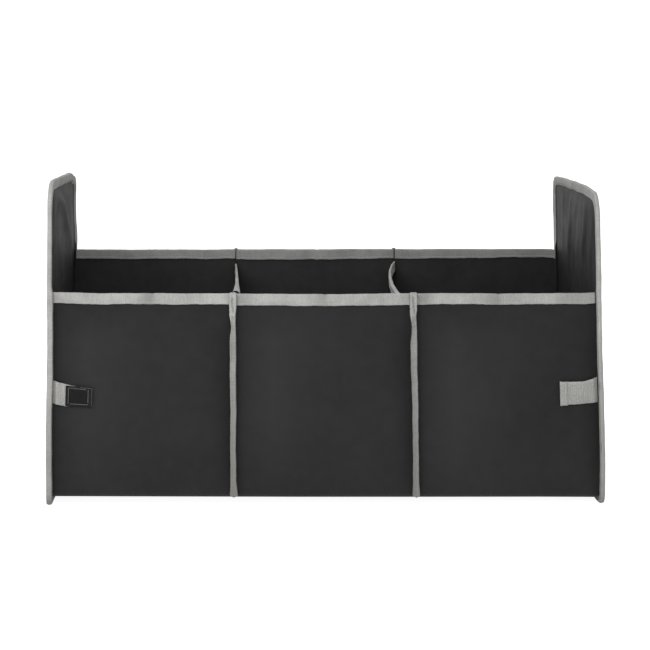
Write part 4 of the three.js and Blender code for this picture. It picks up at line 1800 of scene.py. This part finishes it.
    def make_flap(self) -> None:
        """The end of the seam tape, turned over the rim and laid down the left of the seam's front."""
        low, top = 194.0, PLAN.front_rim + 1.4
        closing = np.linspace(0, 1, 5)[1:]
        body = np.linspace(low, top - 1.5, 34)
        z = np.concatenate([body, top - 1.5 + 1.5 * np.sin(closing * math.pi / 2)])
        shut = np.concatenate([np.ones(len(body)), np.cos(closing * 1.3)])
        edge_y = -(PLAN.half_depth + PLAN.divider_seam + 0.8 - 0.5 * ease((z - top + 4) / 4))
        edge = np.stack([self.x + 0.25 * waves(z, self.seed + 5, (5, 9, 15)), edge_y, z], axis=1)
        left = 3.7 + 0.15 * waves(z, self.seed + 6, (5, 9)) - 1.5 * ease((low + 9 - z) / 8)
        right = 3.6 + 0.15 * waves(z, self.seed + 7, (6, 11)) - 1.6 * ease((low + 18 - z) / 12)
        leg = np.full_like(z, 5.6)
        tape = Tape(edge, everywhere((0, 1, 0), edge), everywhere((1, 0, 0), edge), right * shut, left * shut,
                    leg, leg, nose=0.9, groove=0.3, press=0.1, leg_rows=5, top_rows=12)
        face, depth = tape.profile()
        height = z[:, None]
        middle = table(self.slit, z)[:, None]
        span = ease((height - self.slit[0][0]) / 3) * ease((self.slit[-1][0] - height) / 2)
        cut = bell((face - middle) / 0.7) * span
        ridge = bell((face - middle - 1.7) / 0.8) * span
        sink = 2.0 * ease((low + 13 - height) / 10) * ease((face + 1.6) / 1.4)
        tape.extra["depth"] = 2.6 * cut - 0.45 * ridge + sink
        sheet = tape.sheet()
        ragged = 1.1 * waves(face * 3.1 + depth, self.seed + 8, (2.3, 4.1, 7.0)) - 0.9 * face
        sheet.points[..., 2] += ragged * ease((low + 2.5 - height) / 2.5)
        self.put_on(sheet, f"{self.name}_divider_front_flap", (0, -1, 0), "grey_binding_tape", Slot.TAPE,
                    thickness=PLAN.tape)

    def make(self) -> None:
        """Makes the whole divider."""
        self.make_cloth()
        self.make_top()
        for wall in Wall:
            self.make_strip(wall)


# Closure tabs

@dataclass(frozen=True)
class Outline:
    """The lower and upper edge of a tab or patch, as (along, height) rows."""

    low: Rows
    high: Rows

    def height(self, along: np.ndarray, share: np.ndarray) -> np.ndarray:
        """Height at a share of the way from the lower to the upper edge."""
        low, high = table(self.low, along), table(self.high, along)
        return low + (high - low) * share


@dataclass
class Tab(Sewn):
    """A closure tab at the front of an end: webbing, and its hook or loop patch."""

    end: End
    bulge: float
    strap: Outline
    patch: Outline
    middle: float = 120.0
    bay_width: float = 188.0

    def placed(self, along: np.ndarray, out: np.ndarray, up: np.ndarray) -> np.ndarray:
        """Turns a tab's own coordinates into the organizer's.

        Args:
            along: Distance from the seam of the end towards the middle.
            out: Distance out of the wall, which itself stands out under the tab.
            up: Distance above the tab's middle line.

        Returns:
            Settled points in millimetres.
        """
        share = np.clip(along / self.bay_width, 0, 1)
        swell = wall_swell(share if self.end is End.LEFT else 1 - share) * self.bulge
        shape = np.broadcast(along, out, up).shape
        points = np.stack([np.broadcast_to(self.end.value * (PLAN.tape_face_x - along), shape),
                           np.broadcast_to(-PLAN.half_depth - out - swell, shape),
                           np.broadcast_to(self.middle + up, shape)], axis=-1)
        return settle(points)

    def cloth_at(self, along: np.ndarray, lift: np.ndarray, outline: Outline, seed: int) -> Sheet:
        """A length of webbing between two woven edges.

        Args:
            along: Distances along the tab.
            lift: Distance out of the wall at each.
            outline: Its lower and upper edges.
            seed: Seed of its unevenness.

        Returns:
            The sheet of its outer face.
        """
        share = np.linspace(0, 1, 32)
        low = outline.height(along, 0.0) + 0.2 * waves(along, seed, (5, 9, 16))
        high = outline.height(along, 1.0) + 0.2 * waves(along, seed + 2, (6, 11, 19))
        up = low[:, None] + (high - low)[:, None] * share[None, :]
        soft = 0.35 * ease((np.abs(share - 0.5) - 0.42) / 0.08)
        ripple = 0.14 * waves(up, seed + 1, (6, 11)) * ease(along / 10)[:, None]
        return Sheet(self.placed(along[:, None], lift[:, None] - soft[None, :] + ripple, up))

    def pull(self, along: np.ndarray) -> np.ndarray:
        """How much further out the left tab's free end stands."""
        return 0.5 * ease((along - 30) / 12)

    def make_hook_tab(self) -> None:
        """The left tab: short webbing that runs on behind a stiff hook patch."""
        along = np.linspace(0.2, 26, 44)
        lift = 0.2 + 4.4 * ease(along / 5.2) - 2.7 * ease((along - 4.6) / 7)
        self.put_on(self.cloth_at(along, lift, self.strap, 5), "left_tab_strap", (0, -1, 0), "grey_webbing",
                    Slot.WEBBING, "left_tab_webbing", 0.9, settled=True)
        start, end = self.patch.low[0][0], self.patch.low[-1][0]
        a, t = np.meshgrid(np.linspace(start, end, 46), np.linspace(0, 1, 36), indexing="ij")
        rim = np.minimum(np.minimum(a - start, end - a), np.minimum(t, 1 - t) * 21)
        out = 3.6 - 0.55 * ease((1.2 - rim) / 1.2) - 0.22 * bell((rim - 3.0) / 0.7) + self.pull(a)
        corner = 0.7 * bell((a - end) / 3) * (bell(t * 7) + bell((1 - t) * 7))
        self.put_on(Sheet(self.placed(a - corner, out, self.patch.height(a, t))), "left_tab_hook_square",
                    (0, -1, 0), "black_hook_border", Slot.HOOK, "left_tab_hook_patch", 1.4, settled=True)
        self.hook_field(start + 3.8, end - 5.2, 6.8)
        box = [(start + 3.0, 0.9), (end - 4.2, 0.89), (end - 4.2, 0.13), (start + 3.0, 0.12)]
        self.stitch_box("left_tab_stitches", box, self.patch, 3.66, 0.27, "worn_thread")
        share = np.concatenate([np.linspace(0.05, 0.97, 30), np.full(14, 0.975)])
        run = np.concatenate([np.full(30, end - 0.3), np.linspace(end - 1, end - 13, 14)])
        line = self.placed(run, np.full_like(run, 3.85), self.patch.height(run, share))
        trim = Thread(pitch=1.9, length=1.9, radius=0.16).rows(
            "left_tab_edge_thread", [(line, everywhere((0, -1, 0), line))])
        self.wardrobe.dress(trim, "worn_thread", Slot.HOOK)

    def hook_field(self, start: float, end: float, half: float) -> None:
        """Small bent hooks in rows over the patch.

        Args:
            start: Where the field starts along the tab.
            end: Where it ends.
            half: Half its height.
        """
        verts, faces = [], []
        bend = ((0.0, 0.0), (0.0, 0.4), (0.12, 0.65), (0.4, 0.75), (0.62, 0.5))
        for row, a in enumerate(np.arange(start, end, 1.35)):
            for u in np.arange(-half + (row % 2) * 0.6, half, 1.2):
                first = len(verts)
                for lean, rise in bend:
                    for da, du in ((-0.13, -0.13), (0.13, -0.13), (0.13, 0.13), (-0.13, 0.13)):
                        verts.append((a + lean + da, 3.3 + rise, u + du))
                for ring in range(len(bend) - 1):
                    low = first + ring * 4
                    faces.extend((low + k, low + (k + 1) % 4, low + 4 + (k + 1) % 4, low + 4 + k)
                                 for k in range(4))
                faces.append((first + 3, first + 2, first + 1, first))
                top = first + 4 * (len(bend) - 1)
                faces.append((top, top + 1, top + 2, top + 3))
        along, out, up = np.array(verts).T
        points = self.placed(along, out + self.pull(along), self.patch.height(along, 0.5) + up)
        obj = mesh_object("left_tab_hooks", points, faces)
        recalculate(obj)
        self.wardrobe.dress(obj, "black_hook_field", Slot.HOOK)

    def stitch_box(self, name: str, corners: list[tuple[float, float]], outline: Outline, out: float,
                   radius: float, finish: str) -> None:
        """A stitched rectangle on a tab.

        Args:
            name: The object's name.
            corners: Its corners: distance along, and share of the height.
            outline: The edges that the shares are taken between.
            out: Distance of the stitches out of the wall.
            radius: Radius of the thread.
            finish: The thread's material.
        """
        rows = []
        for (a0, t0), (a1, t1) in zip(corners, corners[1:] + corners[:1]):
            part = np.linspace(0, 1, 20)
            along = a0 + (a1 - a0) * part
            lift = out + self.pull(along) if self.end is End.LEFT else np.full_like(along, out)
            line = self.placed(along, lift, outline.height(along, t0 + (t1 - t0) * part))
            rows.append((line, everywhere((0, -1, 0), line)))
        stitches = Thread(pitch=2.3, length=2.1, radius=radius).rows(name, rows)
        self.wardrobe.dress(stitches, finish, Slot.WEBBING)

    def make_loop_tab(self) -> None:
        """The right tab: webbing with a folded hem, and a loop patch behind it."""
        length, hem, patch = 39.3, 7.4, 22
        along = np.linspace(0.2, length, 56)
        lift = 0.8 + 2.4 * ease(along / 4.5) - 0.3 * ease((along - 5) / 6)
        lift += 0.3 * np.sin(along / length * math.pi)
        self.put_on(self.cloth_at(along, lift, self.strap, 15), "right_tab_strap", (0, -1, 0), "grey_webbing",
                    Slot.WEBBING, "right_tab_webbing", 1.2, settled=True)
        turn = np.linspace(0, 1, 5)[1:] * 1.57
        start = length - hem
        along = np.concatenate([np.linspace(start, length + 0.2, 14), length + 0.2 + 0.3 * np.sin(turn)])
        drop = np.concatenate([np.zeros(14), 2.4 * (1 - np.cos(turn))])
        rise = 4.1 - drop - 0.6 * ease((start + 1.2 - along) / 1.2)
        self.put_on(self.cloth_at(along, rise, self.patch, 25), "right_tab_hem", (0, -1, 0), "grey_webbing",
                    Slot.WEBBING, thickness=1.0, settled=True)
        a, u = np.meshgrid(np.linspace(start - patch, start, 24), np.linspace(-11, 11, 20), indexing="ij")
        rim = np.minimum(np.minimum(a - (start - patch), start - a), 11 - np.abs(u))
        out = 1.35 - 0.3 * ease((0.8 - rim) / 0.8)
        self.put_on(Sheet(self.placed(a, out, self.strap.height(a, 0.5) + u)), "right_tab_loop_square",
                    (0, -1, 0), "black_loop_field", Slot.HOOK, "right_tab_loop_patch", 0.95, settled=True)
        box = [(12.0, 0.89), (29.5, 0.89), (29.5, 0.12), (12.0, 0.12)]
        self.stitch_box("right_tab_stitches", box, self.strap, 3.15, 0.16, "grey_thread")

    def make(self) -> None:
        """Makes the tab of this end."""
        if self.end is End.LEFT:
            self.make_hook_tab()
        else:
            self.make_loop_tab()


# The studio

@dataclass(frozen=True)
class SoftBox:
    """A rectangular soft light."""

    name: str
    place: tuple[float, float, float]
    aim: tuple[float, float, float]
    size: tuple[float, float]
    power: float

    def hang(self) -> None:
        """Adds the light to the scene."""
        light = bpy.data.lights.new(self.name, "AREA")
        light.shape = "RECTANGLE"
        light.size, light.size_y = self.size
        light.energy = self.power
        obj = bpy.data.objects.new(self.name, light)
        bpy.context.scene.collection.objects.link(obj)
        obj.location = self.place
        obj.rotation_euler = (Vector(self.aim) - Vector(self.place)).to_track_quat("-Z", "Y").to_euler()
        obj.visible_camera = False


@dataclass(frozen=True)
class Studio:
    """Floor, backdrop, lights and the camera."""

    camera_place: tuple[float, float, float] = (-0.0874, -2.402, 0.4408)
    yaw: float = math.radians(2.19)
    pitch: float = math.radians(6.32)
    roll: float = math.radians(0.23)
    lens: float = 120.6
    world_strength: float = 0.5
    floor_white: float = 0.93
    lights: tuple[SoftBox, ...] = (
        SoftBox("front_key", (-0.45, -0.9, 0.7), (0.0, 0.0, 0.2), (0.6, 0.5), 3.4),
        SoftBox("front_fill", (0.1, -1.3, 1.1), (0.0, 0.0, 0.2), (0.9, 0.7), 1.4),
    )

    def white_to_camera(self, nodes: Nodes, low: float, high: float) -> bpy.types.NodeSocket:
        """A strength that differs between light and what the camera or a reflection sees.

        Args:
            nodes: The builder of the material or world.
            low: The strength as light.
            high: The strength as seen.

        Returns:
            The strength.
        """
        path = nodes.add("LightPath")
        seen = nodes.math("MAXIMUM", path.outputs["Is Camera Ray"], nodes.math(
            "MAXIMUM", path.outputs["Is Glossy Ray"], path.outputs["Is Transmission Ray"]))
        return nodes.spread(seen, 0.0, 1.0, low, high)

    def make_stage(self) -> None:
        """A pale floor that curves up into a backdrop."""
        side = np.linspace(-5, 5, 11) / MM
        run = [(y, 0.0) for y in np.linspace(-4.0, 3.0, 15)]
        run += [(3.0 + 1.5 * math.sin(turn), 1.5 - 1.5 * math.cos(turn))
                for turn in np.linspace(0, math.pi / 2, 13)[1:]]
        run += [(4.5, z) for z in np.linspace(1.5, 6.0, 8)[1:]]
        path = np.array(run) / MM
        points = np.zeros((len(path), len(side), 3))
        points[..., 0] = side[None, :]
        points[..., 1] = path[:, 0][:, None]
        points[..., 2] = path[:, 1][:, None]
        obj = Sheet(points).open_mesh("studio_floor", (0, -0.5, 1))
        material, nodes, shader, place = start_material("studio_paper")
        nodes.feed(shader, {"Base Color": nodes.blend(nodes.noise(place, 30.0), grey(0.78), grey(0.82)),
                            "Roughness": 1.0, "Specular IOR Level": 0.0, "Emission Color": (1, 1, 1, 1),
                            "Emission Strength": self.white_to_camera(nodes, 0.0, self.floor_white)})
        obj.data.materials.append(material)

    def make_world(self) -> None:
        """An even white surround, dimmer as light than as background."""
        world = bpy.data.worlds.new("studio_world")
        world.use_nodes = True
        world.node_tree.nodes.clear()
        nodes = Nodes(world.node_tree)
        back = nodes.add("Background", {"Color": (1, 1, 1, 1),
                                        "Strength": self.white_to_camera(nodes, self.world_strength, 1.0)})
        nodes.add("OutputWorld", {0: back.outputs[0]})
        bpy.context.scene.world = world

    def make_camera(self) -> None:
        """The camera at the photograph's viewing angle."""
        data = bpy.data.cameras.new("photo_camera")
        data.lens = self.lens
        data.sensor_width = 36.0
        data.clip_end = 50.0
        obj = bpy.data.objects.new("photo_camera", data)
        bpy.context.scene.collection.objects.link(obj)
        turn = (Matrix.Rotation(-self.yaw, 4, "Z") @ Matrix.Rotation(math.pi / 2 - self.pitch, 4, "X")
                @ Matrix.Rotation(self.roll, 4, "Z"))
        obj.matrix_world = Matrix.Translation(self.camera_place) @ turn
        bpy.context.scene.camera = obj

    def make(self) -> None:
        """Sets up the studio."""
        scene = bpy.context.scene
        scene.view_settings.view_transform = "Standard"
        self.make_stage()
        self.make_world()
        self.make_camera()
        for light in self.lights:
            light.hang()


def dress_hidden_boards(wardrobe: Wardrobe) -> None:
    """Gives the stiffeners in the walls their cardboard; they keep their own solids.

    Args:
        wardrobe: All the finishes.
    """
    for name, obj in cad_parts.items():
        if "stiffener" in name:
            obj.data.materials.clear()
            obj.data.materials.append(wardrobe.materials["grey_cardboard"])


LEFT_FOLDS = (
    (((-140, 331), (-121, 324), (-60, 313), (-12, 300), (17, 285), (60, 273), (115, 258)), 10.0, 4.2),
    (((-91, 326), (-30, 315), (20, 300), (50, 285), (118, 268)), 8.0, -2.2),
    (((-120, 300), (-105, 270), (-95, 230), (-92, 190)), 10.0, 1.0),
    (((70, 325), (95, 290), (104, 250)), 10.0, 0.9),
)
RIGHT_FOLDS = (
    (((-95, 330), (-70, 290), (-50, 250), (-42, 200)), 9.0, 1.5),
    (((-45, 333), (-12, 296), (5, 255), (10, 215)), 8.0, -1.0),
    (((10, 334), (28, 295), (45, 250), (48, 205)), 9.0, 1.7),
    (((75, 330), (88, 290), (96, 245)), 8.0, 1.2),
    (((-125, 300), (-112, 260), (-108, 215)), 7.0, 0.9),
)


def main() -> None:
    """Builds the organizer piece by piece."""
    logging.basicConfig(level=logging.INFO, format="%(message)s")
    wardrobe = Wardrobe()
    dress_hidden_boards(wardrobe)
    EndPanel(wardrobe, End.LEFT, LEFT_FOLDS, seed=100, tape_low=2.9, tape_back=3.5).make()
    EndPanel(wardrobe, End.RIGHT, RIGHT_FOLDS, seed=200, tape_low=1.7, tape_back=3.4).make()
    left_end, right_end = Edge(0.0, -1, True), Edge(0.0, 1, True)
    before_left, after_left = (Edge(PLAN.left_divider, sign, False) for sign in (1, -1))
    before_right, after_right = (Edge(PLAN.right_divider, sign, False) for sign in (1, -1))
    Bay(wardrobe, "left", left_end, before_left, 300, -181.1, -193.3).make()
    Bay(wardrobe, "centre", after_left, before_right, 400, -1.2, -0.1, lit_side=3.8, short_front=0.2,
        short_back=((0, 0.4), (0.5, 0.2), (1, 1.4))).make()
    Bay(wardrobe, "right", after_right, right_end, 500, 179.8, 182.7, lit_side=3.6,
        short_back=((0, 1.2), (0.4, 1.2), (0.65, 2.5), (1, 2.2))).make()
    Divider(
        wardrobe, "left", PLAN.left_divider, 600,
        bow=((-142, 0.0), (-125, 3.6), (-60, 3.2), (40, 2.2), (120, 0.8), (142, 0.0)),
        top=((-142, 224.2), (-125, 225.4), (-60, 226.4), (40, 226.7), (120, 229.4), (142, 231.0)),
        top_left=((-142, 3.6), (-125, 3.3), (-60, 1.9), (40, 1.3), (142, 1.0)),
        top_right=((-142, 4.4), (-125, 3.8), (-60, 2.2), (40, 1.4), (142, 1.0)),
        strip_left=((10, 4.2), (16, 3.6), (26, 3.1), (120, 2.9), (178, 3.2), (184, 2.2), (190, 1.4),
                    (200, 2.9), (226, 3.2)),
        strip_right=((10, 4.6), (16, 3.8), (26, 2.6), (60, 2.4), (120, 2.9), (170, 3.0), (195, 2.7),
                     (226, 3.0)),
        slit=((204, 0.6), (209, 0.2), (216, -0.9), (221.5, -0.8)), front_end=-126.5).make()
    Divider(
        wardrobe, "right", PLAN.right_divider, 700,
        bow=((-142, -6.0), (-125, -14.5), (-90, -15.8), (-45, -15.6), (30, -12.6), (95, -8.2), (128, -3.8),
             (142, -1.0)),
        top=((-142, 220.0), (-125, 222.0), (-90, 223.8), (-45, 224.5), (30, 225.5), (95, 227.8), (128, 230.9),
             (142, 234.0)),
        top_left=((-142, 2.6), (-90, 2.2), (-20, 1.8), (60, 1.5), (142, 1.0)),
        top_right=((-142, 3.0), (-90, 2.5), (-20, 2.0), (60, 1.5), (142, 1.0)),
        strip_left=((10, 3.9), (16, 3.3), (26, 2.9), (100, 2.8), (172, 3.2), (180, 2.2), (190, 1.6),
                    (200, 2.9), (226, 3.2)),
        strip_right=((10, 4.2), (16, 3.6), (26, 2.9), (60, 2.5), (120, 2.9), (170, 3.1), (195, 2.8),
                     (226, 3.0)),
        slit=((202, 1.1), (207, 0.9), (213, 0.1), (219, -0.9), (222.5, -0.3))).make()
    Tab(wardrobe, End.LEFT, 4.2,
        Outline(((-0.5, -11.2), (4, -11.9), (13.8, -14.5), (26, -13.6)),
                ((-0.5, 12.9), (3.2, 12.1), (14, 8.9), (18, 8.0), (26, 6.2))),
        Outline(((13.9, -13.7), (40, -15.2), (41.4, -14.8)), ((13.9, 7.8), (39.9, 5.2), (41.4, 4.4)))).make()
    Tab(wardrobe, End.RIGHT, 3.6,
        Outline(((0, -10.9), (15, -12.0), (32, -13.0), (40, -13.2)),
                ((0, 15.7), (6, 14.0), (13.4, 11.8), (31.5, 11.3), (40, 11.3))),
        Outline(((32, -13.5), (40, -14.1)), ((32, 11.2), (40, 11.6)))).make()
    Studio().make()


if __name__ == "__main__":
    main()
